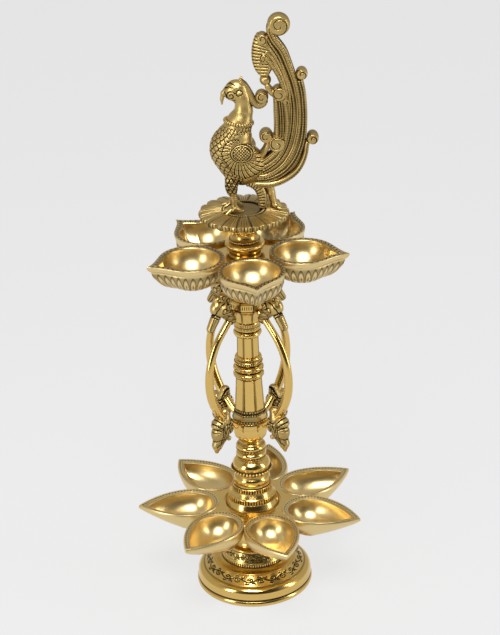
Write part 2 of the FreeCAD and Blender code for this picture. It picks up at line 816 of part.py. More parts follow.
# ---------------------------------------------------------------- lotus seat
seat = turned("lotus_seat")
notch = new_sketch(seat, "petal_notch_outline", "XY_Plane", "Sizes.seat_top + 2")
geo = notch.addGeometry(Part.Circle(
    FreeCAD.Vector(values["petal_notch_reach"], 0, 0), FreeCAD.Vector(0, 0, 1),
    values["petal_notch_radius"]), False)
notch.addConstraint(Sketcher.Constraint("PointOnObject", geo, 3, -1))
mark = notch.addConstraint(
    Sketcher.Constraint("DistanceX", -1, 1, geo, 3, values["petal_notch_reach"]))
notch.setExpression("Constraints[%d]" % mark, "Sizes.petal_notch_reach")
mark = notch.addConstraint(Sketcher.Constraint("Radius", geo, values["petal_notch_radius"]))
notch.setExpression("Constraints[%d]" % mark, "Sizes.petal_notch_radius")
cut = seat.newObject("PartDesign::Pocket", "petal_notch")
cut.Profile = notch
cut.Type = "ThroughAll"
doc.recompute()
petals = seat.newObject("PartDesign::PolarPattern", "petals")
petals.Originals = [cut]
petals.Axis = (notch, ["N_Axis"])
petals.Angle = 360
petals.setExpression("Occurrences", "Sizes.petal_count")
seat.Tip = petals
doc.recompute()

# ---------------------------------------------------------------- peacock
torso = joined("peacock_body", [
    ellipsoid("breast"),
    ellipsoid("rump"),
    ellipsoid("throat"),
    spike("nape", (-1.5, 0, 428.0), (0.0, 0, 456.0), 9.6, 6.4, 0),
    ellipsoid("head"),
    spike("beak_root", (-9.5, 0, 459.0), (-14.2, 0, 453.0), 4.0, 2.2, 0),
    spike("beak_tip", (-14.0, 0, 453.4), (-14.9, 0, 447.6), 2.3, 0.7, 0),
])
torso.Label = "peacock_body"
PIECES["peacock_body"] = torso

for side, name in ((1, "left"), (-1, "right")):
    wing = ellipsoid("wing", name, side=side)
    doc.recompute()
    trimmed("peacock_wing_" + name, wing, torso)

FOOT_OUTLINE = ((-11.0, -5.5), (-3.0, -2.6), (5.5, -1.6), (5.5, 1.6), (-3.0, 2.6), (-11.0, 5.5),
                (-9.0, 1.6), (-13.0, 0.0), (-9.0, -1.6))
PROP_OUTLINE = ((-5.0, -5.0), (-2.0, -2.6), (4.0, -1.6), (4.0, 1.6), (-2.0, 2.6), (-5.0, 5.0), (-6.0, 0.0))


def leg(label, forward, aside, top, outline):
    """Flat clawed foot on the seat with a round shank above it."""
    body = new_body(label)
    sole = new_sketch(body, label + "_sole", "XY_Plane", "Sizes.seat_top")
    edges = []
    for index, (x, y) in enumerate(outline):
        after = outline[(index + 1) % len(outline)]
        start = FreeCAD.Vector(x + values[forward], y + aside, 0)
        end = FreeCAD.Vector(after[0] + values[forward], after[1] + aside, 0)
        edges.append(sole.addGeometry(Part.LineSegment(start, end), False))
    for geo_index in edges:
        sole.addConstraint(Sketcher.Constraint("Block", geo_index))
    foot = body.newObject("PartDesign::Pad", label + "_foot")
    foot.Profile = sole
    foot.setExpression("Length", "Sizes.foot_height")
    doc.recompute()
    ring = new_sketch(body, label + "_ring", "XY_Plane", "Sizes.seat_top")
    middle = FreeCAD.Vector(values[forward], aside, 0)
    circle = Part.Circle(middle, FreeCAD.Vector(0, 0, 1), values["leg_radius"])
    geo_index = ring.addGeometry(circle, False)
    for kind, value in (("DistanceX", middle.x), ("DistanceY", middle.y)):
        ring.addConstraint(Sketcher.Constraint(kind, -1, 1, geo_index, 3, value))
    mark = ring.addConstraint(Sketcher.Constraint("Radius", geo_index, values["leg_radius"]))
    ring.setExpression("Constraints[%d]" % mark, "Sizes.leg_radius")
    shank = body.newObject("PartDesign::Pad", label + "_shank")
    shank.Profile = ring
    shank.setExpression("Length", "Sizes.%s - Sizes.seat_top" % top)
    doc.recompute()
    return body


for side, name in ((1, "left"), (-1, "right")):
    raw = leg("leg_raw_" + name, "leg_forward", side * values["leg_spread"], "leg_top", FOOT_OUTLINE)
    del PIECES["leg_raw_" + name]
    trimmed("peacock_leg_" + name, raw, torso)

# Tail: ribs laid side by side, thick and thin in turn, ending in scrolls
tail_raw = new_body("tail_raw")
RIBS = (
    ("rib_outer", ((8.5, 380.2), (21.4, 379.6), (32.0, 382.4), (42.2, 388.8), (48.0, 396.4),
                   (51.4, 405.2), (52.6, 412.6), (54.6, 418.0)), (6.4, 6.4, 6.2, 5.8, 5.2, 4.8, 4.6), True),
    ("rib_back", ((8.6, 383.4), (21.5, 384.2), (33.4, 389.8), (42.2, 399.4), (47.4, 410.6), (50.0, 421.2),
                  (51.1, 433.4), (51.0, 446.8), (50.0, 459.0), (48.6, 468.0)),
     (5.6, 5.8, 5.8, 5.6, 5.4, 5.2, 5.0, 4.6), False),
    ("rib_long_right", ((8.0, 386.4), (21.6, 388.2), (33.4, 396.6), (41.0, 408.6), (45.2, 422.7),
                        (46.8, 437.3), (46.2, 451.8), (43.7, 466.4), (39.2, 480.6), (34.7, 492.4),
                        (29.0, 502.6), (26.4, 511.0)), (5.6, 5.6, 5.6, 5.6, 5.6, 5.4, 5.4, 6.0, 6.6), True),
    ("rib_long_left", ((7.6, 389.4), (19.4, 392.4), (30.4, 401.2), (36.8, 412.4), (40.2, 425.3),
                       (41.8, 438.7), (41.5, 450.8), (39.0, 463.6), (34.6, 477.6), (30.0, 489.0),
                       (25.1, 498.6), (22.6, 506.0)), (5.6, 5.6, 5.6, 5.6, 5.4, 5.2, 5.0, 5.0), False),
    ("rib_inner", ((7.0, 392.0), (17.2, 395.6), (27.2, 402.6), (33.0, 411.4), (35.9, 421.4),
                   (37.1, 432.0), (36.4, 440.6), (34.6, 449.0)), (5.6, 5.6, 5.6, 5.4, 5.2, 5.0, 5.0), True),
    ("rib_mid", ((22.0, 400.6), (28.6, 407.6), (31.4, 416.0), (32.6, 425.0), (32.9, 434.0), (32.3, 443.0),
                 (30.6, 453.0)), (5.2, 5.2, 5.0, 4.8, 5.0), False),
    ("rib_edge", ((21.0, 404.0), (25.8, 411.0), (27.7, 420.0), (28.4, 430.0), (27.9, 440.0), (26.4, 451.0)),
     (6.0, 5.4, 5.2, 5.0, 4.6), True),
    ("curl_large", ((5.4, 394.4), (14.9, 398.6), (22.4, 403.4), (27.4, 409.0)), (5.6, 6.2, 7.0), True),
    ("curl_small", ((9.0, 398.0), (13.4, 402.4), (18.0, 408.0), (20.4, 414.0), (20.0, 420.0)),
     (7.0, 6.2, 5.8, 5.4), False),
    ("leaf_high", ((18.2, 501.4), (22.6, 496.4), (27.4, 490.0), (32.6, 480.6), (36.9, 469.6),
                   (39.2, 458.2), (39.6, 448.0)), (5.0, 4.8, 4.8, 4.8, 4.6), False),
    ("leaf_low", ((17.0, 491.0), (22.4, 485.6), (27.8, 478.6), (32.6, 469.6), (35.6, 459.4), (36.6, 450.0)),
     (6.0, 5.6, 5.4, 5.2, 4.8), True),
    ("leaf_eye", ((18.2, 505.0), (16.2, 498.0), (15.6, 490.0), (16.6, 482.0), (20.0, 473.0)),
     (8.0, 11.0, 12.0, 11.0, 8.0), False),
    ("branch", ((20.8, 469.0), (23.4, 462.0), (27.0, 456.6), (30.6, 451.0)), (5.0, 6.0, 7.0, 7.0), True),
)
for name, points, widths, thick in RIBS:
    depth = "Sizes.tail_thick" if thick else "Sizes.tail_thin"
    ribbon(tail_raw, name, points, widths, depth)
SCROLLS = (
    ("scroll_top", 33.3, 514.2, 9.0),
    ("scroll_outer_high", 49.6, 472.8, 5.0),
    ("scroll_outer_low", 57.6, 418.2, 5.2),
    ("scroll_inner_large", 27.6, 413.4, 6.6),
    ("scroll_inner_small", 19.0, 421.0, 4.8),
    ("scroll_leaf", 18.8, 503.0, 5.0),
    ("scroll_ball", 20.8, 468.4, 4.8),
    ("scroll_bulb", 31.6, 456.4, 5.2),
)
SCROLL_STEP = 0.2
for index, (name, x, z, radius) in enumerate(SCROLLS):
    extra = SCROLL_STEP * index
    disc(tail_raw, name, x, z, radius, "Sizes.tail_thick + Sizes.scroll_proud + %g" % extra)
del PIECES["tail_raw"]
tail = trimmed("peacock_tail", tail_raw, torso)

crest_raw = new_body("crest_raw")
ribbon(crest_raw, "crest_plume",
       ((-0.6, 468.6), (4.4, 462.4), (8.0, 455.4), (11.6, 449.8), (17.2, 448.4)),
       (4.0, 5.0, 5.4, 5.4, 5.0), "Sizes.plume_thick")
disc(crest_raw, "crest_scroll", 17.4, 452.8, 6.4, "Sizes.plume_thick + Sizes.scroll_proud")
del PIECES["crest_raw"]
trimmed("peacock_crest", crest_raw, joined("crest_stop", [tail, torso]))

prop_raw = leg("prop_raw", "prop_forward", 0.0, "prop_top", PROP_OUTLINE)
del PIECES["prop_raw"]
prop = trimmed("peacock_tail_prop", prop_raw, joined("prop_stop", [tail, torso]))

drape_raw = new_body("drape_raw")
ribbon(drape_raw, "drape", ((1.0, 380.0), (7.5, 378.4), (12.2, 374.4), (14.4, 368.0), (14.6, 361.6),
                            (13.6, 356.4)), (5.0, 6.5, 7.5, 6.5, 4.5), "Sizes.drape_thick")
del PIECES["drape_raw"]
trimmed("peacock_drape", drape_raw, joined("drape_stop", [tail, torso, prop, seat]))

# ---------------------------------------------------------------- checks and export
doc.recompute()
for item in doc.Objects:
    state = " ".join(item.State)
    if "Invalid" in state or "Error" in state:
        raise RuntimeError("%s is %s" % (item.Label, state))
for label, piece in PIECES.items():
    shape = piece.Shape
    if shape.isNull() or not shape.isValid() or len(shape.Solids) != 1:
        raise RuntimeError("%s has %d solids" % (label, len(shape.Solids)))
    shape.exportStep("parts/%s.step" % label)
print("%d parts written" % len(PIECES))
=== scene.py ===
import functools
import math

import bmesh
import bpy
import numpy as np
import openvdb
from mathutils import Matrix, Vector


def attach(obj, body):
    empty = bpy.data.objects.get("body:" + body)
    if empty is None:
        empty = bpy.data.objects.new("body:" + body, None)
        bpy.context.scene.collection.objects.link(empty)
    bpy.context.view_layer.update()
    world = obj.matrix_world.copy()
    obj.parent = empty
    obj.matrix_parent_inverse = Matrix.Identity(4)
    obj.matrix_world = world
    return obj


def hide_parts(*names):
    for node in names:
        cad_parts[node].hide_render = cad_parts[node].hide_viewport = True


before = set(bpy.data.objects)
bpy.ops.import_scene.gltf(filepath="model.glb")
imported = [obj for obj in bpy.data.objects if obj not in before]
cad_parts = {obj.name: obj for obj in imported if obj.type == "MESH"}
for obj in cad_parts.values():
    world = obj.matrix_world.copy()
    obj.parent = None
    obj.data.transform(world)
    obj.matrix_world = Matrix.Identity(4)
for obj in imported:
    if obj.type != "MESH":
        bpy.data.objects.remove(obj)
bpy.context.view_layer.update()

scene = bpy.context.scene
scene.view_settings.view_transform = "Standard"
TAU = 2 * math.pi

# ---------------------------------------------------------------- camera
camera_data = bpy.data.cameras.new("camera")
camera_data.lens = 110.8
camera_data.sensor_width = 36
camera_data.clip_end = 20
camera = bpy.data.objects.new("camera", camera_data)
scene.collection.objects.link(camera)
scene.camera = camera
ELEVATION = math.radians(25.28)
ROLL = math.radians(-1.7)
DISTANCE = 1.654
AIM = Vector((0.0025, 0, 0.258))
look = Vector((0, math.cos(ELEVATION), -math.sin(ELEVATION)))
level_up = Vector((0, math.sin(ELEVATION), math.cos(ELEVATION)))
level_right = Vector((1, 0, 0))
right = level_right * math.cos(ROLL) + level_up * math.sin(ROLL)
up = level_up * math.cos(ROLL) - level_right * math.sin(ROLL)
turn = Matrix((right, up, -look)).transposed()
camera.matrix_world = Matrix.Translation(AIM - look * DISTANCE) @ turn.to_4x4()


# ---------------------------------------------------------------- materials
CAVITY_GAIN = 1.3
MOTTLE_SHARE = 0.35
RECESS_DULLNESS = 0.42


def add_node(tree, kind, sockets=None):
    """Shader node with constants on its input sockets."""
    node = tree.nodes.new("ShaderNode" + kind)
    for socket, value in (sockets or {}).items():
        node.inputs[socket].default_value = value
    return node


def brass(name, bright, dark, rough, patina, grain, grain_depth, spread):
    """Brass whose recesses (the cavity attribute) are dark and dull, with mottled wear."""
    mat = bpy.data.materials.new(name)
    mat.use_nodes = True
    tree = mat.node_tree
    link = tree.links.new
    surface = tree.nodes["Principled BSDF"]
    surface.inputs["Metallic"].default_value = 1.0
    coords = add_node(tree, "TexCoord")
    cavity = add_node(tree, "Attribute")
    cavity.attribute_name = "cavity"
    mottle = add_node(tree, "TexNoise", {"Scale": 55.0, "Detail": 6.0})
    wear = add_node(tree, "MapRange", {"From Min": 0.42, "From Max": 0.72, "To Max": patina * MOTTLE_SHARE})
    darkness = add_node(tree, "Math", {1: CAVITY_GAIN})
    darkness.operation = "MULTIPLY_ADD"
    darkness.use_clamp = True
    colour = add_node(tree, "Mix", {6: (*bright, 1), 7: (*dark, 1)})
    colour.data_type = "RGBA"
    fine = add_node(tree, "TexNoise", {"Scale": grain * 4, "Detail": 3.0})
    gloss = add_node(tree, "MapRange", {"To Min": rough, "To Max": rough + spread})
    dull = add_node(tree, "Math", {1: RECESS_DULLNESS})
    dull.operation = "MULTIPLY_ADD"
    dull.use_clamp = True
    coarse = add_node(tree, "TexNoise", {"Scale": grain, "Detail": 4.0})
    bump = add_node(tree, "Bump", {"Strength": grain_depth, "Distance": 0.0004})
    for noise in (mottle, fine, coarse):
        link(coords.outputs["Object"], noise.inputs["Vector"])
    link(mottle.outputs["Fac"], wear.inputs["Value"])
    link(cavity.outputs["Fac"], darkness.inputs[0])
    link(wear.outputs["Result"], darkness.inputs[2])
    link(darkness.outputs[0], colour.inputs[0])
    link(colour.outputs[2], surface.inputs["Base Color"])
    link(fine.outputs["Fac"], gloss.inputs["Value"])
    link(darkness.outputs[0], dull.inputs[0])
    link(gloss.outputs["Result"], dull.inputs[2])
    link(dull.outputs[0], surface.inputs["Roughness"])
    link(coarse.outputs["Fac"], bump.inputs["Height"])
    link(bump.outputs["Normal"], surface.inputs["Normal"])
    return mat


DARK = (0.022, 0.012, 0.004)
polished = brass("polished_brass", (0.73, 0.56, 0.26), DARK, 0.28, 0.05, 180.0, 0.004, 0.04)
satin = brass("satin_brass", (0.71, 0.485, 0.15), DARK, 0.13, 0.10, 140.0, 0.012, 0.08)
antique = brass("antique_brass", (0.53, 0.38, 0.14), DARK, 0.28, 0.70, 320.0, 0.12, 0.13)
machined = brass("machined_brass", (0.76, 0.58, 0.28), DARK, 0.28, 0.20, 500.0, 0.10, 0.12)
SLOTS = {"polished_brass": polished, "satin_brass": satin,
         "antique_brass": antique, "machined_brass": machined}


# ---------------------------------------------------------------- mesh helpers, in millimetres
def mesh_from(name, points, quads, cavity, slot="antique_brass"):
    """Smooth mesh from millimetre points; cavity is how dark and recessed each point is."""
    mesh = bpy.data.meshes.new(name)
    points = np.asarray(points, dtype=np.float32).reshape(-1, 3) * 0.001
    quads = np.asarray(quads, dtype=np.int32).reshape(-1, 4)
    mesh.vertices.add(len(points))
    mesh.vertices.foreach_set("co", points.ravel())
    mesh.loops.add(quads.size)
    mesh.loops.foreach_set("vertex_index", quads.ravel())
    mesh.polygons.add(len(quads))
    mesh.polygons.foreach_set("loop_start", np.arange(len(quads), dtype=np.int32) * 4)
    mesh.update(calc_edges=True)
    mesh.validate()
    mark = mesh.attributes.new("cavity", "FLOAT", "POINT")
    mark.data.foreach_set("value", np.clip(cavity, 0, 1).astype(np.float32).ravel())
    work = bmesh.new()
    work.from_mesh(mesh)
    bmesh.ops.remove_doubles(work, verts=work.verts, dist=2e-6)
    bmesh.ops.recalc_face_normals(work, faces=work.faces)
    work.to_mesh(mesh)
    work.free()
    mesh.polygons.foreach_set("use_smooth", np.ones(len(mesh.polygons), dtype=bool))
    mesh.materials.append(SLOTS[slot])
    return mesh


def place(name, mesh, body, nodes, spin=0.0):
    """Piece on a body, shown instead of the named CAD nodes."""
    piece = bpy.data.objects.new(name, mesh)
    scene.collection.objects.link(piece)
    piece.rotation_euler = (0, 0, spin)
    bpy.context.view_layer.update()
    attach(piece, body)
    if nodes:
        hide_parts(*nodes)
    return piece


def quads_of(rows, columns, wrap_rows=False):
    """Faces of a grid whose columns close on themselves."""
    index = np.arange(rows * columns).reshape(rows, columns)
    a = index
    b = np.roll(index, -1, 1)
    c = np.roll(b, -1, 0)
    d = np.roll(a, -1, 0)
    if not wrap_rows:
        a, b, c, d = a[:-1], b[:-1], c[:-1], d[:-1]
    return np.stack((a, b, c, d), -1).reshape(-1, 4)


def normals_of(points):
    """Normals of a grid (rows, columns, 3), pointing along rows x columns."""
    down = np.gradient(points, axis=0)
    along = (np.roll(points, -1, 1) - np.roll(points, 1, 1)) / 2
    normal = np.cross(along, down)
    length = np.linalg.norm(normal, axis=-1, keepdims=True)
    return normal / np.maximum(length, 1e-9)


def arc_points(p, q, radius):
    """Points inside the arc from p to q; a negative radius bends it the other way."""
    half = np.linalg.norm(q - p) / 2
    lift = math.sqrt(max(radius * radius - half * half, 0))
    side = 1 if radius > 0 else -1
    normal = np.array((-(q - p)[1], (q - p)[0])) / (2 * half)
    centre = (p + q) / 2 + normal * lift * side
    first = math.atan2(*(p - centre)[::-1])
    last = math.atan2(*(q - centre)[::-1])
    if side > 0 and last < first:
        last += TAU
    if side < 0 and last > first:
        last -= TAU
    count = max(4, int(abs(last - first) * abs(radius) / 0.3))
    angles = np.linspace(first, last, count + 1)[1:-1]
    return [centre + abs(radius) * np.array((math.cos(a), math.sin(a))) for a in angles]


def resample(points, step):
    """Evenly spaced points along a polyline, with their distances from its start."""
    points = np.asarray(points, dtype=float)
    way = np.concatenate(([0], np.cumsum(np.linalg.norm(np.diff(points, axis=0), axis=1))))
    count = max(3, int(round(way[-1] / step)) + 1)
    at = np.linspace(0, way[-1], count)
    fresh = np.stack([np.interp(at, way, points[:, k]) for k in range(points.shape[1])], 1)
    return at, fresh


def spline(points, step):
    """Smooth curve through the points, evenly spaced."""
    p = np.asarray(points, dtype=float)
    p = np.vstack((2 * p[0] - p[1], p, 2 * p[-1] - p[-2]))
    out = []
    for k in range(1, len(p) - 2):
        t = np.linspace(0, 1, 24, endpoint=False)[:, None]
        a, b, c, d = p[k - 1], p[k], p[k + 1], p[k + 2]
        out.append(0.5 * (2 * b + (c - a) * t + (2 * a - 5 * b + 4 * c - d) * t ** 2
                          + (3 * b - a - 3 * c + d) * t ** 3))
    out.append(p[-2][None])
    return resample(np.vstack(out), step)


def smoothstep(x):
    x = np.clip(x, 0, 1)
    return x * x * (3 - 2 * x)


def line_at(distance, width):
    """1 on a line, falling to 0 at the given distance from it."""
    return smoothstep(1 - distance / width)


def saw(a):
    """Rises from -1 to 1 once per unit of a."""
    return 2 * (a - np.round(a))


def distance_to_lines(x, y, lines):
    """Distance from points to a set of polylines."""
    best = np.full(x.shape, 1e9)
    for line in lines:
        line = np.asarray(line, dtype=float)
        for (ax, ay), (bx, by) in zip(line[:-1], line[1:]):
            dx, dy = bx - ax, by - ay
            length = dx * dx + dy * dy + 1e-12
            t = np.clip(((x - ax) * dx + (y - ay) * dy) / length, 0, 1)
            best = np.minimum(best, np.hypot(x - ax - t * dx, y - ay - t * dy))
    return best


def spiral(cx, cy, r0, r1, a0, turns, squash=1.0, count=26):
    """Polyline that winds from radius r0 to r1, starting at angle a0."""
    a = np.linspace(a0, a0 + turns * TAU, count)
    r = np.linspace(r0, r1, count)
    return np.stack((cx + r * np.cos(a) * squash, cy + r * np.sin(a)), 1)


# ---------------------------------------------------------------- relief on turned pieces
def s_near(s, p, r0, z0):
    """Distance along the outline p of its point nearest to (r0, z0)."""
    return s[np.argmin((p[:, 0] - r0) ** 2 + (p[:, 1] - z0) ** 2)]


def beads(r0, z0, width, count, height):
    def apply(th, s, p, h, c):
        v = (s - s_near(s, p, r0, z0)) / (width / 2)
        u = saw(th * count / TAU)
        q = np.clip(1 - v[:, None] ** 2 - u[None, :] ** 2, 0, 1)
        band = smoothstep((1.35 - np.abs(v)) / 0.35)[:, None]
        h += 1.25 * height * np.sqrt(q) - height * 0.5 * band * (1 - np.sqrt(q))
        c += 1.15 * band * (1 - np.sqrt(q)) ** 1.2
    return apply


def ticks(r0, z0, width, count, depth, duty=0.5):
    def apply(th, s, p, h, c):
        v = np.abs(s - s_near(s, p, r0, z0)) / (width / 2)
        band = smoothstep((1 - v) / 0.2)[:, None]
        u = np.abs(saw(th * count / TAU))[None, :]
        g = smoothstep((duty - u) / (duty * 0.7)) * band
        h -= depth * g
        c += g
    return apply


def groove(r0, z0, width, depth, dark=1.0):
    def apply(th, s, p, h, c):
        v = (s - s_near(s, p, r0, z0)) / (width / 2)
        g = np.clip(1 - v * v, 0, 1)[:, None]
        h -= depth * g
        c += dark * g
    return apply


def engraving(r0, z0, width, periods, lines, thick, depth):
    """Strokes drawn in one tile (x 0..1 round, y -1..1 up) and repeated round the piece."""
    def apply(th, s, p, h, c):
        mid = s_near(s, p, r0, z0)
        rows = np.nonzero(np.abs(s - mid) < width * 0.55)[0]
        per = len(th) // periods
        pitch = TAU * r0 / periods
        x, y = np.meshgrid(np.arange(per) / per * pitch, s[rows] - mid)
        drawn = []
        for line in lines:
            line = np.asarray(line, dtype=float)
            for shift in (-1, 0, 1):
                drawn.append((line + (shift, 0)) * (pitch, width / 2))
        g = smoothstep(1.15 - distance_to_lines(x, y, drawn) / thick)
        g = np.tile(g, (1, periods))
        h[rows] -= depth * g
        c[rows] += g
    return apply


HALF_FACET = math.pi / 8


def lathe(piece, rows, body="column", slot="satin_brass", node=None, columns=720, step=0.35, facets=None,
          features=(), soften=2, facet_groove=0.0):
    """Turned casting from (r, z[, curve]) rows, with relief along its normal. It replaces its own node."""
    outline = []
    for k, row in enumerate(rows):
        p = np.array(row[:2], dtype=float)
        outline.append(p)
        if len(row) > 2:
            outline += arc_points(p, np.array(rows[k + 1][:2], dtype=float), row[2])
    s, p = resample(outline, step)
    for _ in range(soften):
        p[1:-1] = (p[:-2] + 2 * p[1:-1] + p[2:]) / 4
    tangent = np.gradient(p, axis=0)
    tangent /= np.maximum(np.linalg.norm(tangent, axis=1, keepdims=True), 1e-9)
    out = np.stack((tangent[:, 1], -tangent[:, 0]), 1)
    angle = np.unwrap(np.arctan2(tangent[:, 1], tangent[:, 0]))
    hollow = np.clip(-np.gradient(angle) / step * 1.1, 0, 0.8)
    th = np.arange(columns) * TAU / columns
    radius = np.repeat(p[:, :1], columns, 1)
    h = np.zeros((len(p), columns))
    c = np.repeat(hollow[:, None], columns, 1) * 0.9
    if facets:
        weight = np.interp(p[:, 1], [f[0] for f in facets], [f[1] for f in facets])
        turn_in = (th + HALF_FACET) % (2 * HALF_FACET) - HALF_FACET
        flat = 1 / np.cos(turn_in)
        radius = radius * (1 + weight[:, None] * (flat[None, :] - 1))
        # Where facets meet, a groove is cut and the same soft band is painted darker: painted shade along the
        # facet edges.
        edge = line_at((HALF_FACET - np.abs(turn_in)) * p[:, :1], 1.4)
        edge = edge * weight[:, None]
        h -= facet_groove * edge
        c += edge * (0.55 if facet_groove else 0.0)
    for feature in features:
        feature(th, s, p, h, c)
    reach = radius + h * out[:, :1]
    z = p[:, 1:] + h * out[:, 1:]
    points = np.stack((reach * np.cos(th), reach * np.sin(th), z + 0 * reach), -1)
    name = piece + "_casting"
    place(name, mesh_from(name, points, quads_of(len(p), columns), c, slot), body, (node or piece,))


def vine(curls=True):
    x = np.linspace(0, 1, 40)
    lines = [np.stack((x, 0.42 * np.sin(TAU * x)), 1)]
    if curls:
        lines.append(spiral(0.27, -0.18, 0.46, 0.10, 1.9, 1.15, 0.34))
        lines.append(spiral(0.77, 0.18, 0.46, 0.10, 1.9 + math.pi, 1.15, 0.34))
        lines.append([(0.40, 0.62), (0.46, 0.40), (0.53, 0.72)])
        lines.append([(0.90, -0.62), (0.96, -0.40), (1.03, -0.72)])
        lines.append([(0.12, 0.75), (0.18, 0.86), (0.26, 0.78)])
        lines.append([(0.62, -0.75), (0.68, -0.86), (0.76, -0.78)])
    return lines


# ---------------------------------------------------------------- base
lathe("base_foot", (
    (47.0, 0.0), (49.6, 0.0, 3.0), (50.2, 5.2), (50.0, 6.2), (50.6, 7.2), (50.0, 12.8, 6.4),
    (45.6, 17.0), (44.4, 17.6), (36.2, 24.0), (35.4, 24.6, -11.0), (28.8, 26.4), (28.6, 29.2),
    (27.6, 30.4), (24.0, 38.0), (24.6, 38.4, 1.4), (24.4, 41.0), (12.0, 41.0), (12.0, 38.0),
    (21.2, 37.0), (25.4, 28.4), (26.2, 24.0), (34.6, 21.4), (46.6, 12.0), (47.0, 0.05)),
    "base", columns=1440, step=0.28, features=(
        groove(50.0, 6.2, 1.4, 0.15, 0.35), groove(45.0, 17.3, 1.6, 0.12, 0.35),
        engraving(40.2, 20.6, 8.0, 12, vine(), 0.72, 0.22),
        groove(36.2, 24.0, 1.0, 0.12, 0.3),
        ticks(28.7, 27.9, 3.4, 84, 0.6, 0.55),
        engraving(25.9, 34.0, 6.4, 12, vine(), 0.60, 0.22),
        groove(24.2, 38.2, 0.8, 0.2, 0.8)))
lathe("base_neck", (
    (13.4, 41.0), (19.6, 41.0, -9.0), (17.4, 46.4), (16.2, 60.0, -22.0), (20.4, 68.6),
    (20.4, 70.0), (5.2, 70.0), (5.2, 50.5), (12.6, 50.5), (13.4, 41.05)),
    "base", columns=360)

# ---------------------------------------------------------------- column
lathe("stem_foot", (
    (5.2, 79.0), (23.8, 79.0), (23.8, 80.2), (21.8, 84.6, -9.0), (21.2, 85.6), (20.8, 89.6),
    (20.0, 90.2), (17.6, 93.4, -7.0), (17.2, 94.2), (16.9, 98.2), (16.0, 98.8), (15.6, 101.6, 5.0),
    (14.6, 107.6, -5.0), (14.2, 111.0), (15.6, 112.2, 1.6), (16.2, 115.4), (16.6, 118.4, 9.0),
    (11.6, 124.2), (11.2, 125.0), (0.3, 125.0)), features=(
        groove(23.7, 80.6, 0.9, 0.15, 0.5), ticks(21.0, 87.6, 4.0, 54, 0.8, 0.6),
        ticks(17.0, 96.2, 4.0, 44, 0.8, 0.6), groove(16.0, 98.9, 0.9, 0.15, 0.8),
        beads(16.0, 113.8, 2.6, 38, 0.8), groove(14.2, 111.2, 1.0, 0.15, 0.8)))
lathe("stem_rings", (
    (0.3, 125.0), (11.2, 125.0), (11.6, 125.8, 2.8), (11.4, 131.0), (10.4, 132.2),
    (11.6, 133.2, 2.7), (11.4, 138.2, -3.6), (9.0, 141.0), (0.3, 141.0)),
    columns=540, features=(
        beads(11.9, 126.8, 2.4, 30, 0.7), beads(11.9, 134.2, 2.4, 30, 0.7),
        groove(10.5, 132.1, 1.0, 0.2, 0.9)))
ALL_FACETED = ((0, 1.0), (999, 1.0))
lathe("stem_bulb", (
    (0.3, 141.0), (9.4, 141.0), (12.6, 145.2, 7.5), (14.6, 151.0, 12.0), (14.4, 156.6, 20.0),
    (13.4, 162.0), (0.3, 162.0)),
    columns=480, facets=((141, 0.0), (150, 0.25), (162, 0.35)), soften=8)
lathe("stem_collar", (
    (0.3, 162.0), (13.4, 162.0), (14.2, 162.8), (14.8, 164.4), (14.8, 165.0), (14.3, 166.0),
    (13.1, 171.4), (13.0, 172.0), (12.9, 174.0), (0.3, 174.0)),
    slot="antique_brass", columns=960,
    facets=((162, 0), (164.4, 0.1), (165.2, 1), (170.8, 1), (171.6, 0.3), (174, 0.3)), features=(
        beads(14.6, 163.7, 2.4, 36, 0.7), beads(13.0, 172.9, 2.2, 36, 0.6),
        groove(13.1, 171.4, 0.8, 0.2, 0.8), beads(13.4, 170.4, 1.6, 40, 0.4)))
lathe("shaft_lower", (
    (0.3, 174.0), (12.7, 174.0), (11.1, 203.0), (0.3, 203.0)),
    columns=960, facets=ALL_FACETED, facet_groove=0.55)
lathe("shaft_bands", (
    (0.3, 203.0), (11.4, 203.0), (11.6, 203.8, 2.5), (11.4, 208.6), (10.8, 209.4),
    (11.8, 210.2, 2.4), (11.6, 214.6), (10.2, 215.4), (10.8, 216.2, 2.1), (10.6, 220.0),
    (10.0, 220.8), (11.8, 221.6), (11.2, 223.2), (10.0, 224.0), (0.3, 224.0)),
    step=0.28, features=(
        beads(11.6, 204.0, 1.4, 44, 0.4), groove(13.2, 206.4, 0.7, 0.2, 0.7),
        engraving(13.2, 212.4, 4.0, 12, vine(False), 0.4, 0.3),
        groove(10.9, 209.5, 1.0, 0.2, 0.9), groove(10.3, 215.5, 1.0, 0.2, 0.9),
        beads(12.6, 218.1, 1.8, 44, 0.4), groove(10.1, 220.9, 1.0, 0.2, 0.9),
        ticks(11.7, 222.2, 1.6, 48, 0.4, 0.5)))
lathe("shaft_upper", (
    (0.3, 224.0), (9.5, 224.0), (9.2, 243.0), (0.3, 243.0)),
    columns=960, facets=ALL_FACETED, facet_groove=0.3)
lathe("shaft_knurl", (
    (0.3, 243.0), (10.4, 243.0, 2.5), (10.4, 247.8), (11.3, 249.4), (11.3, 255.8),
    (10.6, 257.0), (0.3, 257.0)),
    columns=960, step=0.25, features=(
        beads(10.6, 243.4, 1.3, 42, 0.35), ticks(11.3, 250.9, 2.2, 60, 0.45, 0.45),
        ticks(11.3, 254.3, 2.2, 48, 0.45, 0.45), groove(11.3, 252.6, 0.8, 0.25, 0.9),
        groove(10.6, 248.4, 1.0, 0.2, 0.9)))
lathe("capital", (
    (0.3, 257.0), (10.8, 257.0, -14.0), (11.8, 265.4, -9.0), (13.9, 268.4), (13.9, 275.4),
    (12.8, 277.0), (0.3, 277.0)),
    columns=960,
    facets=((257, 0.4), (260, 1), (277, 1)), facet_groove=0.25, features=(
        groove(13.9, 269.2, 0.9, 0.25, 0.9), ticks(13.9, 272.6, 3.4, 48, 0.4, 0.4)))
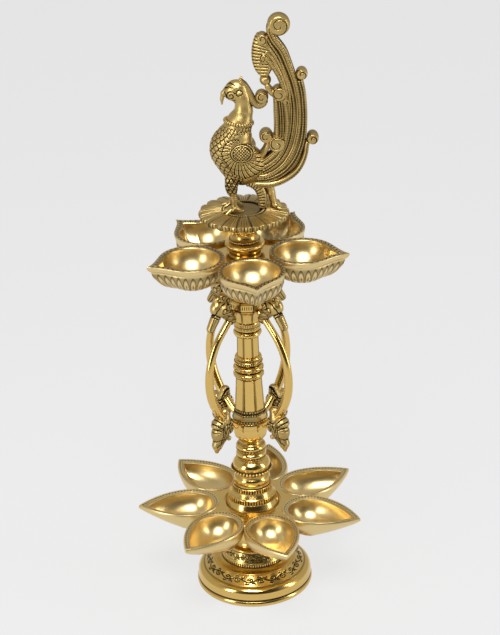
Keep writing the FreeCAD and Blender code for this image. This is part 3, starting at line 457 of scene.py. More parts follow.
lathe("capital_neck", (
    (0.3, 277.0), (12.4, 277.0, -8.0), (10.0, 284.0), (10.0, 292.0, -9.0), (13.6, 298.4),
    (13.6, 300.0), (4.2, 300.0), (4.2, 280.0), (0.3, 280.0)),
    columns=360)
lathe("spool", (
    (4.2, 319.0), (13.4, 319.0), (13.6, 323.4), (15.0, 324.2, 2.6), (14.8, 329.2),
    (12.4, 329.8, 1.2), (12.2, 332.0, -5.2), (10.8, 338.6, -14.0), (15.2, 350.6), (15.2, 352.0),
    (3.2, 352.0), (3.2, 339.5), (0.3, 339.5)),
    "spool", node="neck_spool", columns=540, features=(
        ticks(16.4, 328.2, 1.6, 70, 0.3, 0.5), beads(13.3, 330.9, 1.8, 44, 0.4),
        groove(13.8, 323.9, 1.0, 0.2, 0.9)))


# ---------------------------------------------------------------- wick bowls
def bezier(a, b, c, d, count):
    t = np.linspace(0, 1, count)[:, None]
    a, b, c, d = (np.array(k, dtype=float) for k in (a, b, c, d))
    return a * (1 - t) ** 3 + 3 * b * t * (1 - t) ** 2 + 3 * c * t * t * (1 - t) + d * t ** 3


def closed_outline(half, count):
    """Evenly spaced outline from half of it, which runs from the back to the tip on the +y side."""
    s, even = resample(half, 0.05)
    at = np.linspace(0, s[-1], count // 2 + 1)
    side = np.stack((np.interp(at, s, even[:, 0]), np.interp(at, s, even[:, 1])), 1)
    other = side[-2:0:-1] * (1, -1)
    return np.vstack((side, other)), s[-1] * 2


def arc_half(radius, stop):
    a = np.linspace(math.pi, stop, 60)
    return np.stack((radius * np.cos(a), radius * np.sin(a)), 1)


def bowl_mesh(name, outline, inner, rows, centre, rim, relief, slot, flare):
    """Bowl from rows (inward share, width, length, drop), outline and inner are about its centre."""
    points = []
    for share, wide, long, drop in rows:
        ring = outline * (1 - share) + inner * share
        ahead = smoothstep(ring[:, :1] / flare)
        scale = wide + (long - wide) * ahead
        ring = ring * np.concatenate((scale, np.full_like(scale, wide)), 1)
        z = np.full((len(ring), 1), rim - drop)
        points.append(np.concatenate((ring + (centre, 0), z), 1))
    points = np.array(points)
    h, c = relief(points)
    points = points + normals_of(points) * h[..., None]
    return mesh_from(name, points, quads_of(*points.shape[:2]), c, slot)


LOWER_BOWLS, LOWER_CENTRE, LOWER_RIM, LOWER_FIRST = 7, 54.6, 81.0, 80.4
LOWER_COLUMNS = 400
BEAD_INSET, GROOVE_INSET, BEAD_PITCH = 1.7, 3.6, 3.1
half = np.vstack((arc_half(23.2, math.pi / 2)[:-1] * (1.08, 1),
                  bezier((0, 23.2), (18, 23.2), (35, 12.0), (46, 0), 80)))
lower_outline, lower_length = closed_outline(half, LOWER_COLUMNS)
lower_rows = []
for a in np.linspace(0.0, 1.0, 34):
    t = a * math.pi / 2
    wide = 0.03 + 0.765 * math.sin(t) ** 0.92
    long = 0.03 + 0.800 * math.sin(t) ** 0.78
    lower_rows.append((0, wide, long, 18.8 - 17.4 * (1 - math.cos(t))))
lower_inside = len(lower_rows)
for a in np.linspace(0.0, 1.0, 20)[1:]:
    lower_rows.append((0, 0.795 + 0.185 * a, 0.830 + 0.155 * a, 1.4 * (1 - a) ** 1.6))
lower_edge = len(lower_rows)
for a in np.linspace(0.0, 1.0, 10)[1:]:
    bulge = math.sin(a * math.pi / 2)
    lower_rows.append((0, 0.980 + 0.030 * bulge, 0.985 + 0.020 * bulge, 2.6 * a ** 1.3))
for a in np.linspace(0.0, 1.0, 34)[1:]:
    t = a * math.pi / 2
    wide = 0.012 + 0.998 * math.cos(t) ** 0.86
    long = 0.012 + 0.993 * (1 - math.sin(t) ** 1.2) ** 0.66
    lower_rows.append((0, wide, long, 2.6 + 19.4 * math.sin(t)))


def lower_relief(points):
    h = np.zeros(points.shape[:2])
    c = np.zeros(points.shape[:2])
    along = np.arange(LOWER_COLUMNS) / LOWER_COLUMNS * lower_length
    pos = np.zeros(len(points))
    span = np.linalg.norm(np.diff(points[:, 0], axis=0), axis=1)
    pos[1:] = np.cumsum(span)
    rim = pos[lower_edge - 1]
    pitch = lower_length / round(lower_length / BEAD_PITCH)
    step = saw(along / pitch) * pitch / 2
    dot = smoothstep(1.5 - np.hypot(step[None, :], pos[:, None] - rim + BEAD_INSET) / 0.72)
    h -= 0.3 * dot
    c += 0.9 * dot
    line = np.clip(1 - ((pos - rim + GROOVE_INSET) / 0.4) ** 2, 0, 1)[:, None]
    h -= 0.12 * line
    c += 0.45 * line
    seam = np.clip(1 - ((pos - pos[lower_inside - 1]) / 0.5) ** 2, 0, 1)[:, None]
    c += 0.25 * seam
    return h, c


lower_mesh = bowl_mesh("lower_bowl", lower_outline, lower_outline, lower_rows, LOWER_CENTRE, LOWER_RIM,
                       lower_relief, "polished_brass", 24.0)
for k in range(LOWER_BOWLS):
    place("lower_bowl_%d" % (k + 1), lower_mesh, "lower_tier", ("lower_diya_%d" % (k + 1),),
          math.radians(LOWER_FIRST - k * 360 / LOWER_BOWLS))

UPPER_BOWLS, UPPER_CENTRE, UPPER_RIM, UPPER_FIRST = 5, 48.5, 322.6, 59.9
UPPER_COLUMNS = 560
UPPER_RADIUS = 27.3
RIM_PATTERNS, ARCHES = 38, 28
stop = math.radians(46)
start = UPPER_RADIUS * np.array((math.cos(stop), math.sin(stop)))
ahead = start + 9.5 * np.array((math.sin(stop), -math.cos(stop)))
half = np.vstack((arc_half(UPPER_RADIUS, stop)[:-1], bezier(start, ahead, (31.5, 3.4), (39.5, 0), 60)))
upper_outline, upper_length = closed_outline(half, UPPER_COLUMNS)
bearing = np.arctan2(upper_outline[:, 1], upper_outline[:, 0])
hole = 23.3 + 6.7 * np.clip(1 - np.abs(bearing) / math.radians(19), 0, 1) ** 1.25
upper_inner = np.stack((hole * np.cos(bearing), hole * np.sin(bearing)), 1)
upper_rows = []
for a in np.linspace(0.0, 1.0, 38):
    t = a * math.pi / 2
    wide = 0.02 + 0.98 * math.sin(t) ** 0.9
    upper_rows.append((1, wide, wide, 21.6 - 20.8 * (1 - math.cos(t))))
upper_inside = len(upper_rows)
for a in np.linspace(0.0, 1.0, 22)[1:]:
    upper_rows.append((1 - a, 1, 1, 0.8 - 0.8 * math.sin(min(a * 4, 1) * math.pi / 2)))
upper_edge = len(upper_rows)
for a in np.linspace(0.0, 1.0, 14)[1:]:
    upper_rows.append((0, 1 + 0.012 * math.sin(a * math.pi) - 0.045 * a ** 2,
                       1 + 0.006 * math.sin(a * math.pi) - 0.10 * a ** 2, 5.6 * a))
upper_lip = len(upper_rows)
for a in np.linspace(0.0, 1.0, 44)[1:]:
    t = a * math.pi / 2
    upper_rows.append((0.10 + 0.6 * min(a * 4, 1), 0.02 + (0.96 + 0.12 * min(a * 4, 1)) * math.cos(t) ** 0.80,
                       0.02 + (0.92 + 0.10 * min(a * 4, 1)) * math.cos(t) ** 0.84, 5.6 + 19.4 * math.sin(t)))


def upper_relief(points):
    h = np.zeros(points.shape[:2])
    c = np.zeros(points.shape[:2])
    along = np.arange(UPPER_COLUMNS) / UPPER_COLUMNS * upper_length
    pos = np.zeros(len(points))
    pos[1:] = np.cumsum(np.linalg.norm(np.diff(points[:, 0], axis=0), axis=1))
    rim_in, rim_out = pos[upper_inside - 1], pos[upper_edge - 1]
    middle = (rim_in + rim_out) / 2
    pitch = upper_length / RIM_PATTERNS
    wave = np.abs(saw(along / pitch))[None, :]
    across = (pos[:, None] - middle) / ((rim_out - rim_in) / 2)
    on_rim = smoothstep((1 - np.abs(across)) / 0.12)
    zigzag = line_at(np.abs(across - (wave * 1.1 - 0.55)) * 2.4, 1.15) * on_rim
    dots = on_rim * smoothstep(1.2 - np.hypot((wave - 1) * pitch / 2, (across + 0.45) * 2.4) / 0.8)
    edges = line_at(np.abs(np.abs(across) - 0.86), 0.12)
    mark = np.clip(zigzag + dots + edges * 0.7, 0, 1)
    h -= 0.34 * mark
    c += mark + 0.08 * on_rim
    depth = UPPER_RIM - points[..., 2].mean(1)
    out = np.arange(len(points)) >= upper_lip - 1
    low = np.where(out, (depth - 6.4) / 10.5, -9.0)[:, None]
    arch_pitch = upper_length / ARCHES
    u = saw(along / arch_pitch)[None, :]
    ring = np.abs(np.hypot(u * 1.05, (low - 0.95) * 1.05) - 0.86)
    arch = line_at(ring, 0.17) * (low < 0.95)
    stem = line_at(np.abs(np.abs(u) - 0.82), 0.16) * (low >= 0.95) * (low < 1.4)
    core = line_at(np.hypot(u * 1.3, (low - 0.95) * 0.8), 0.34)
    border = line_at(np.abs(low - 0.03), 0.05) + line_at(np.abs(low - 1.45), 0.05)
    petal = line_at(np.hypot(u * 1.05, (low - 0.95) * 1.05) - 0.62, 0.12) * (low < 0.95)
    petal = np.maximum(petal, line_at(np.abs(u) - 0.52, 0.12) * (low >= 0.95))
    ground = (1 - petal) * smoothstep((low - 0.06) / 0.06) * smoothstep((1.42 - low) / 0.08)
    pattern = np.clip(arch + stem + core + border, 0, 1) * ((low > -0.1) & (low < 1.55))
    pattern = np.maximum(pattern, 0.5 * ground)
    h -= 0.38 * pattern
    c += 0.7 * pattern
    return h, c


upper_mesh = bowl_mesh("upper_bowl", upper_outline, upper_inner, upper_rows, UPPER_CENTRE, UPPER_RIM,
                       upper_relief, "polished_brass", 30.0)
for k in range(UPPER_BOWLS):
    place("upper_bowl_%d" % (k + 1), upper_mesh, "upper_tier", ("upper_diya_%d" % (k + 1),),
          math.radians(UPPER_FIRST - k * 360 / UPPER_BOWLS))


# ---------------------------------------------------------------- rods, ribs and scrolls
def sweep_mesh(name, a, b, depth, slot="antique_brass", around=40, power=0.7, cap=2.0, relief=None):
    """Bar in the XZ plane between edge curves a and b, depth each side of the plane."""
    along = np.concatenate(([0], np.cumsum(np.linalg.norm(np.diff((a + b) / 2, axis=0), axis=1))))
    total = along[-1]
    near_end = np.minimum(along, total - along)
    close = np.sqrt(np.clip(1 - (1 - np.clip(near_end / cap, 0, 1)) ** 2, 0.0004, 1))
    phi = np.arange(around) * TAU / around
    cx = np.sign(np.cos(phi)) * np.abs(np.cos(phi)) ** power
    sy = np.sign(np.sin(phi)) * np.abs(np.sin(phi)) ** power
    mid = (a + b) / 2
    half_way = (b - a) / 2 * close[:, None]
    xz = mid[:, None, :] + half_way[:, None, :] * cx[None, :, None]
    y = (depth * close)[:, None] * sy[None, :]
    points = np.stack((xz[..., 0], y, xz[..., 1]), -1)
    h = np.zeros(points.shape[:2])
    c = np.zeros(points.shape[:2])
    if relief:
        relief(along, phi, h, c)
        normal = normals_of(points)
        centre = np.stack((mid[:, 0], np.zeros(len(mid)), mid[:, 1]), -1)[:, None]
        sign = np.sign(np.sum(normal * (points - centre), axis=(0, 1))).sum()
        points = points + normal * h[..., None] * (1 if sign > 0 else -1)
    return mesh_from(name, points, quads_of(len(a), around), c, slot)


def edges_of(points, widths, step=0.45):
    s, mid = spline(points, step)
    tangent = np.gradient(mid, axis=0)
    tangent /= np.maximum(np.linalg.norm(tangent, axis=1, keepdims=True), 1e-9)
    normal = np.stack((-tangent[:, 1], tangent[:, 0]), 1)
    w = np.interp(s, np.linspace(0, s[-1], len(widths)), widths)[:, None] / 2
    return mid - normal * w, mid + normal * w, s


def rib_relief(lines, pitch=2.5, size=0.6):
    """Beaded lines along both faces of a rib, with grooves beside them."""
    def relief(along, phi, h, c):
        face = smoothstep((np.abs(np.sin(phi)) - 0.25) / 0.3)[None, :]
        across = np.cos(phi)[None, :]
        u = saw(along / pitch)[:, None]
        for at, wide in lines:
            v = (across - at) / wide
            q = np.clip(1 - u ** 2 - v ** 2, 0, 1)
            h[...] += size * np.sqrt(q) * face
            c[...] += 0.7 * face * np.clip(1.5 - np.abs(v), 0, 1) * (1 - np.sqrt(q)) ** 1.6
            side = line_at(np.abs(np.abs(v) - 1.35), 0.35) * face
            h[...] -= 0.35 * side
            c[...] += side
        c[...] += 0.75 * smoothstep((np.abs(np.cos(phi)) - 0.86) / 0.12)[None, :]
    return relief


def plain_relief(along, phi, h, c):
    c[...] += 0.35 * smoothstep((np.abs(np.cos(phi)) - 0.9) / 0.1)[None, :]


# Arms
ARM_R, ARM_Z, ARM_BOW, ARM_HALF = -9.8, 213.5, 56.8, math.radians(46)
bow = [(ARM_R + ARM_BOW * math.cos(t), ARM_Z + ARM_BOW * math.sin(t))
       for t in np.linspace(-ARM_HALF, ARM_HALF, 15)]
arm_path = [(16.0, 161.2), (22.6, 166.0)] + bow + [(22.6, 261.5), (14.6, 269.5)]
arm_a, arm_b, _ = edges_of(arm_path, (6.6, 7.4, 8.2, 8.0, 7.2, 6.6, 6.2, 6.2, 6.4), 0.8)
arm_mesh = sweep_mesh("arm_rod", arm_a, arm_b, np.linalg.norm(arm_b - arm_a, axis=1) / 2, "satin_brass",
                      around=32, power=1.0, cap=0.8)


def place_on_arms(*castings):
    """Puts each (piece, mesh, node, slot) casting on all four arms."""
    for k in range(4):
        for name, mesh, node, slot in castings:
            place("%s_%d" % (name, k + 1), mesh, "column", ("%s_%d" % (node, k + 1),),
                  math.radians(45 + 90 * k))


place_on_arms(("arm_rod_cast", arm_mesh, "arm_rod", "satin_brass"))


# ---------------------------------------------------------------- modelled castings from fields
def smin(a, b, k):
    """Union of two distance fields, blended over a width k."""
    m = np.clip(0.5 + 0.5 * (b - a) / k, 0, 1)
    return b + (a - b) * m - k * m * (1 - m)


def ball(x, y, z, centre, semi, lean=0.0):
    """Ellipsoid that leans by some degrees in the XZ plane."""
    px, py, pz = x - centre[0], y - centre[1], z - centre[2]
    ca, sa = math.cos(math.radians(lean)), math.sin(math.radians(lean))
    px, pz = px * ca - pz * sa, px * sa + pz * ca
    k0 = np.sqrt((px / semi[0]) ** 2 + (py / semi[1]) ** 2 + (pz / semi[2]) ** 2)
    k1 = np.sqrt((px / semi[0] ** 2) ** 2 + (py / semi[1] ** 2) ** 2 + (pz / semi[2] ** 2) ** 2)
    return k0 * (k0 - 1) / np.maximum(k1, 1e-6)


def limb(x, y, z, a, b, ra, rb, flat=1.0):
    """Tapered rounded bar from a to b; flat below 1 makes it thin across Y."""
    ax, ay, az = a
    dx, dy, dz = b[0] - ax, b[1] - ay, b[2] - az
    t = np.clip(((x - ax) * dx + (y - ay) * dy + (z - az) * dz) / (dx * dx + dy * dy + dz * dz), 0, 1)
    off = np.sqrt((x - ax - t * dx) ** 2 + ((y - ay - t * dy) / flat) ** 2 + (z - az - t * dz) ** 2)
    return off - (ra + (rb - ra) * t)


def chain(x, y, z, points, radii, flat=1.0, k=1.0):
    """Bars from point to point, blended into one limb."""
    links = [limb(x, y, z, a, b, ra, rb, flat)
             for a, b, ra, rb in zip(points[:-1], points[1:], radii[:-1], radii[1:])]
    return functools.reduce(lambda d, e: smin(d, e, k), links)


def deepest(*cuts):
    """Deepest of several cuts at each point."""
    return functools.reduce(np.maximum, cuts)


FIELD_LIMIT = 3.0
FULLY_DARK_CUT = 0.5


def field_mesh(name, low, high, step, shape, marks):
    """Surface of a distance field. marks(x, y, z) is the engraved depth, 0 where plain."""
    axes = [np.arange(low[k], high[k] + step, step, dtype=np.float32) for k in range(3)]
    x, y, z = np.meshgrid(*axes, indexing="ij")
    d = shape(x, y, z)
    near = np.abs(d) < 2.5
    cut = np.zeros_like(d)
    cut[near] = marks(x[near], y[near], z[near])
    grid = openvdb.FloatGrid()
    grid.background = FIELD_LIMIT
    grid.copyFromArray(np.ascontiguousarray(np.clip(d + cut, -FIELD_LIMIT, FIELD_LIMIT), dtype=np.float32))
    points, quads = grid.convertToQuads(isovalue=0.0)
    points = points * step + np.array(low)
    c = marks(points[:, 0], points[:, 1], points[:, 2])
    return mesh_from(name, points, quads, np.clip(c / FULLY_DARK_CUT, 0, 1))


def scales(u, v, wide, tall):
    """Fish-scale grooves in a plane: 1 on the line of each scale, 0 inside it."""
    row = np.floor(v / tall)
    best = np.zeros_like(u)
    for shift in (0, 1):
        r = row + shift
        uu = u / wide + 0.5 * (r % 2)
        cu = (uu - np.round(uu)) * wide
        cv = v - r * tall
        ring = np.abs(np.hypot(cu, cv * (wide / 2) / tall) - wide * 0.5)
        best = np.maximum(best, line_at(ring, 0.55) * (cv <= 0.2))
    return best


def ring_line(x, z, cx, cz, r, wide):
    return line_at(np.abs(np.hypot(x - cx, z - cz) - r), wide)


# Bird's head at the top of an arm: x outward from the lamp's axis, z up
CURLS = ((24.6, 283.2, 3.4), (29.2, 287.0, 3.6), (34.2, 286.4, 3.2))


def upper_bird(x, y, z):
    d = chain(x, y, z, ((19, 0, 263), (23.5, 0, 270), (28.6, 0, 278)), (4.6, 5.2, 6.0), 1.0, 2.0)
    d = smin(d, ball(x, y, z, (33.2, 0, 277.6), (7.8, 6.3, 8.4), 28), 2.5)
    d = smin(d, limb(x, y, z, (36.6, 0, 271.6), (43.2, 0, 262.4), 4.3, 3.4, 1.05), 0.5)
    for cx, cz, r in CURLS:
        d = smin(d, ball(x, y, z, (cx, 0, cz), (r, 3.4, r)), 0.8)
    for side in (1, -1):
        d = smin(d, ball(x, y, z, (31.6, 5.6 * side, 276.2), (1.5, 1.4, 1.5)), 0.3)
        d = smin(d, ball(x, y, z, (26.4, 4.8 * side, 278.6), (3.4, 2.6, 3.4)), 0.6)
    return d


def upper_bird_marks(x, y, z):
    along = (x - 36.6) * 0.583 - (z - 271.6) * 0.813
    across = (x - 36.6) * 0.813 + (z - 271.6) * 0.583
    beak = z < 276
    bill = (along > 2.2) * beak
    crown = distance_to_lines(x, z, [[(30.0, 283.0), (34.6, 282.4), (38.8, 278.6), (40.0, 273.6)]])
    return deepest(
        ring_line(x, z, 31.6, 276.2, 2.4, 0.6) * 0.6,
        ring_line(x, z, 26.4, 278.6, 3.0, 0.55) * 0.6,
        ring_line(x, z, 26.4, 278.6, 1.2, 0.45) * 0.5,
        line_at(np.abs(along + 0.8), 0.7) * 0.8 * beak,
        line_at(np.abs(along - 1.4), 0.6) * 0.7 * beak,
        line_at(np.abs(across + 0.6), 0.45) * 0.55 * bill,
        line_at(np.abs(np.abs(y) - 2.4), 0.4) * 0.4 * bill,
        *(ring_line(x, z, cx, cz, r * 0.5, 0.5) * 0.6 for cx, cz, r in CURLS),
        line_at(crown, 0.6) * 0.6,
        scales(y + 40, z, 3.0, 2.2) * 0.3 * (x < 30) * (z < 275))


# Bird's head at the foot of an arm: a scrolled neck, a domed crown and a long hooked beak
def lower_bird(x, y, z):
    d = chain(x, y, z, ((29.6, 0, 179.0), (31.6, 0, 172.5), (33.6, 0, 166.0)), (4.4, 5.6, 6.6), 0.95, 2.5)
    d = smin(d, ball(x, y, z, (36.4, 0, 161.8), (8.4, 7.4, 9.0), -20), 2.0)
    d = smin(d, chain(x, y, z, ((37.0, 0, 158.0), (40.6, 0, 151.4), (41.4, 0, 145.8)), (6.2, 4.6, 1.9),
                      0.95, 1.0), 1.0)
    d = smin(d, limb(x, y, z, (31.0, 0, 160.5), (29.2, 0, 154.4), 3.4, 1.8, 0.9), 1.0)
    d = smin(d, ball(x, y, z, (38.4, 0, 171.4), (6.6, 6.6, 4.8), 25), 0.6)
    for side in (1, -1):
        d = smin(d, ball(x, y, z, (31.0, 5.8 * side, 166.4), (4.8, 3.0, 5.4), -20), 0.5)
        d = smin(d, ball(x, y, z, (30.6, 4.2 * side, 156.0), (2.2, 2.0, 2.2)), 0.4)
    return d


def lower_bird_marks(x, y, z):
    curl = distance_to_lines(x, z, [spiral(30.4, 165.6, 4.4, 0.9, 0.4, 1.5)])
    lines = [[(34.8, 171.5), (37.4, 168.0), (36.4, 163.4)], [(31.0, 158.8), (36.0, 155.4), (39.6, 149.0)],
             [(32.6, 161.0), (37.8, 157.8), (41.2, 152.0)], [(36.4, 172.6), (40.0, 168.8), (44.0, 168.4)],
             [(26.6, 175.0), (29.0, 171.6), (33.0, 170.4)], [(40.6, 158.6), (43.6, 156.2)],
             [(41.6, 153.6), (43.8, 151.4)]]
    row = (np.abs(x - 38.6) < 1.1) & (z > 157.5) & (z < 168.0)
    inner = smoothstep((-(x - 34.0) + 0.25 * np.abs(y)) / 1.2) * (z > 152) * (z < 176) * (np.abs(y) < 4.4)
    strokes = [[(27.6 + 1.9 * k, 173.0 - 0.5 * k), (29.8 + 1.9 * k, 167.0 - 0.7 * k),
                (30.6 + 2.0 * k, 159.0 - k)] for k in range(6)]
    ray = np.degrees(np.arctan2(z - 163.0, x - 33.0)) / 17.0
    fan = (x > 38.5) & (z > 164.5) | (x < 29.5) & (z > 158)
    return deepest(
        line_at(curl, 0.55) * 0.6,
        line_at(distance_to_lines(x, z, lines), 0.55) * 0.7,
        smoothstep((np.abs(saw(z / 1.6)) - 0.6) / 0.3) * 0.5 * row,
        smoothstep((np.abs(saw(z / 6.4)) - 0.74) / 0.2) * 0.7 * inner,
        line_at(distance_to_lines(x, z, strokes), 0.5) * 0.6 * (np.abs(y) > 2.6),
        smoothstep((np.abs(saw(ray)) - 0.66) / 0.2) * 0.8 * fan)


upper_bird_mesh = field_mesh("upper_bird", (12, -12, 254), (50, 12, 294), 0.4, upper_bird, upper_bird_marks)
lower_bird_mesh = field_mesh("lower_bird", (20, -10, 141), (50, 10, 187), 0.4, lower_bird, lower_bird_marks)
place_on_arms(("upper_bird", upper_bird_mesh, "arm_upper_bird", "antique_brass"),
              ("lower_bird", lower_bird_mesh, "arm_lower_bird", "antique_brass"))


# ---------------------------------------------------------------- lotus seat
def finial_piece(name, mesh, *nodes):
    """Piece on the finial; its mesh already carries the antique brass."""
    place(name, mesh, "finial", nodes)


def lotus():
    columns = 1080
    petals = 18
    seat_top, petal_root, rim_low = 357.0, 357.4, 351.3
    th = np.arange(columns) * TAU / columns
    lobe = np.abs(np.cos(th * petals / 2))
    edge = 34.6 + 2.6 * lobe ** 0.55
    fan = th * petals / TAU % 1
    rib = np.abs(saw(fan * 5))
    parting = line_at(np.minimum(fan, 1 - fan), 0.07)
    rows = []
    dark = []

    def add_row(r, z, cavity):
        rows.append(np.stack((r * np.cos(th), r * np.sin(th), z + 0 * th), 1))
        dark.append(cavity + 0 * th)

    # The flat seat top is painted darker all over, and darker still in a ring just inside the beads: painted
    # shade of the dish under the bird and beside the bead ring.
    for r in np.linspace(0.4, 15.0, 24):
        add_row(r, seat_top, 0.35 + 0.4 * (r > 13.6))
    for r in np.linspace(15.2, 18.2, 16):
        bead = np.sqrt(np.clip(1 - saw(th * 60 / TAU) ** 2 - ((r - 16.7) / 1.2) ** 2, 0, 1))
        add_row(r, seat_top + 0.2 + bead, 0.8 * (1 - bead))
    for t in np.linspace(0, 1, 60)[1:]:
        crown = 0.9 * np.sqrt(lobe) * math.sin(min(t * 1.1, 1) * math.pi / 2)
        fluting = 0.55 * (1 - t) ** 0.6 * smoothstep((rib - 0.62) / 0.3)
        split = parting * (0.5 + 0.6 * t)
        add_row(18.4 + (edge - 18.4) * t, petal_root + crown - 2.6 * t ** 1.6 - fluting - split,
                np.clip(fluting * 1.5 + parting * 0.8, 0, 1))
    rim_top = petal_root + 0.9 * np.sqrt(lobe) - 2.6 - parting * 1.1
    ridge = 0.25 * smoothstep((rib - 0.5) / 0.4)
    for t in np.linspace(0, 1, 16)[1:]:
        add_row(edge + 0.5 * math.sin(t * math.pi) - ridge, rim_top + (rim_low - rim_top) * t,
                np.clip(ridge * 2.6 + parting * 0.8, 0, 1))
    for t in np.linspace(0, 1, 30)[1:]:
        add_row(edge * (1 - t) + 3.2 * t, rim_low + 0.7 * t, 0.3 * parting)
    finial_piece("lotus_petals", mesh_from("lotus_petals", np.array(rows), quads_of(len(rows), columns),
                                           np.array(dark)), "lotus_seat")


lotus()


# ---------------------------------------------------------------- peacock
def peacock(x, y, z):
    x = x + 1.0
    d = ball(x, y, z, (-7.6, 0, 411.0), (17.8, 15.4, 20.0), 8)
    d = smin(d, ball(x, y, z, (0.5, 0, 396.5), (17.5, 14.5, 17.5), -20), 6)
    d = smin(d, ball(x, y, z, (10.5, 0, 399.5), (11.5, 10.0, 9.5), 40), 4)
    d = smin(d, limb(x, y, z, (-3.0, 0, 425.0), (-0.6, 0, 433.0), 12.4, 10.2), 4)
    neck = chain(x, y, z, ((0.5, 0, 433.0), (3.4, 0, 442.0), (3.2, 0, 452.0)), (9.4, 6.9, 6.8), 1.0, 3)
    d = smin(d, neck, 3)
    d = smin(d, ball(x, y, z, (-1.8, 0, 459.6), (9.8, 7.2, 9.2), 15), 3)
    d = smin(d, ball(x, y, z, (-7.0, 0, 458.0), (5.0, 4.6, 5.6), 0), 2)
    d = smin(d, limb(x, y, z, (0.6, 0, 467.0), (2.2, 0, 470.4), 1.9, 1.1), 0.8)
    beak = chain(x, y, z, ((-9.6, 0, 461.0), (-12.6, 0, 457.6), (-13.9, 0, 453.0), (-14.0, 0, 448.8)),
                 (2.7, 2.1, 1.5, 0.8), 1.0, 0.8)
    d = smin(d, beak, 0.6)
    for side in (1, -1):
        d = smin(d, ball(x, y, z, (0.2, 6.6 * side, 459.4), (1.5, 1.2, 1.5)), 0.3)
        d = smin(d, ball(x, y, z, (-8.6, 7.2 * side, 380.5), (5.4, 5.0, 9.6), -6), 2.0)
        wing = ball(x, y, z, (1.0, 11.4 * side, 409.0), (11.6, 4.8, 9.6), 0)
        d = smin(d, wing, 2.0)
    return d


COLLAR_Z = 433.6


def peacock_marks(x, y, z):
    x = x + 1.0
    side = np.abs(y)
    e = np.hypot((x - 0.8) / 9.0, (z - 410.8) / 7.4)
    # scale feathers on the breast and neck foot
    bearing = np.arctan2(y, -(x + 2.0))
    down = (z - 380.0) + 0.22 * (x + 8)
    breast = (z > 377) & (z < 431) & (x < 8 + (z - 405) * 0.3) & ~((e < 1.98) & (side > 3))
    m = np.where(breast, scales(bearing * 17.0, down, 4.4, 3.3) * 0.5, 0)
    # medallion with cross-hatching and a double border
    border = np.maximum(line_at(np.abs(e - 1.0), 0.08), line_at(np.abs(e - 0.8), 0.06))
    hatch = np.maximum(line_at(np.abs(((x + z) / 2.6) % 1 - 0.5), 0.22),
                       line_at(np.abs(((x - z) / 2.6) % 1 - 0.5), 0.22))
    m = np.where((side > 5) & (e < 1.1), np.maximum(border * 0.6, hatch * 0.55 * (e < 0.76)), m)
    # wing feathers fanned out of the medallion
    angle = np.degrees(np.arctan2(z - 410.8, x - 0.8)) - 7.0 * np.clip(e - 1.0, 0, 3)
    reach = np.interp(angle, (-150, -100, 10, 96, 130, 180), (1.95, 3.1, 3.1, 1.7, 1.95, 1.95))
    feather = (e >= 1.1) & (e < reach) & ((angle < 10) | (angle > 96)) & (side > 3)
    comb = np.abs(saw(angle / 11.5))
    m = np.where(feather, deepest(
        smoothstep((comb - 0.70) / 0.22) * 0.8,
        smoothstep((0.16 - comb) / 0.12) * 0.25,
        line_at(np.abs(e - reach + 0.1 + 0.14 * comb), 0.07) * 0.6,
        line_at(np.abs(e - 2.0 + 0.10 * comb), 0.04) * 0.4), m)
    # head: spiral cheek, brow ridges with the line of the bill, eye ring
    cheek = distance_to_lines(x, z, [spiral(-6.6, 456.8, 4.2, 0.8, 0.6, 1.4)])
    brow = distance_to_lines(x, z, [[(-11.2, 462.5), (-8.0, 464.4), (-4.6, 463.6)],
                                    [(-10.0, 465.6), (-6.6, 467.0), (-3.4, 465.6)],
                                    [(-8.0, 451.2), (-5.2, 450.0), (-3.2, 450.8)],
                                    [(-9.2, 453.6), (-6.0, 451.8), (-3.2, 452.8)],
                                    [(-11.6, 459.6), (-10.2, 456.0), (-9.6, 452.6)]])
    m = np.where((z > 447) & (side > 1.0), deepest(
        m, line_at(cheek, 0.6) * 0.7, line_at(brow, 0.6) * 0.7,
        ring_line(x, z, 0.2, 459.4, 2.5, 0.65) * 0.7), m)
    # edge of the crown
    crown = distance_to_lines(x, z, [[(2.4, 468.6), (6.0, 463.0), (8.0, 456.0), (9.4, 448.0)]])
    m = np.where(z > 446, np.maximum(m, line_at(crown, 0.55) * 0.6), m)
    # tufts on the thighs
    return np.where((z < 388) & (x < 0) & (side > 2), np.maximum(m, scales(x + 60, z, 3.6, 3.0) * 0.5), m)


finial_piece("peacock_bird", field_mesh("peacock_bird", (-30, -20, 364), (26, 20, 474), 0.4, peacock,
                                        peacock_marks),
             "peacock_body", "peacock_wing_left", "peacock_wing_right")

# Beaded collar at the foot of the neck
th = np.arange(480) * TAU / 480
phi = np.arange(20) * TAU / 20
bead = np.abs(np.cos(th * 17))
thick = (1.25 + 0.45 * bead)[:, None]
ring_r = 10.9 + thick * np.cos(phi)[None, :]
collar = np.stack((-2.0 + ring_r * np.cos(th)[:, None], ring_r * np.sin(th)[:, None] * 0.95,
                   COLLAR_Z - 0.12 * ring_r * np.cos(th)[:, None] + thick * np.sin(phi)[None, :]), -1)
finial_piece("peacock_collar", mesh_from("peacock_collar", collar, quads_of(480, 20, wrap_rows=True),
                                         np.repeat((1 - bead)[:, None] ** 2, 20, 1)))


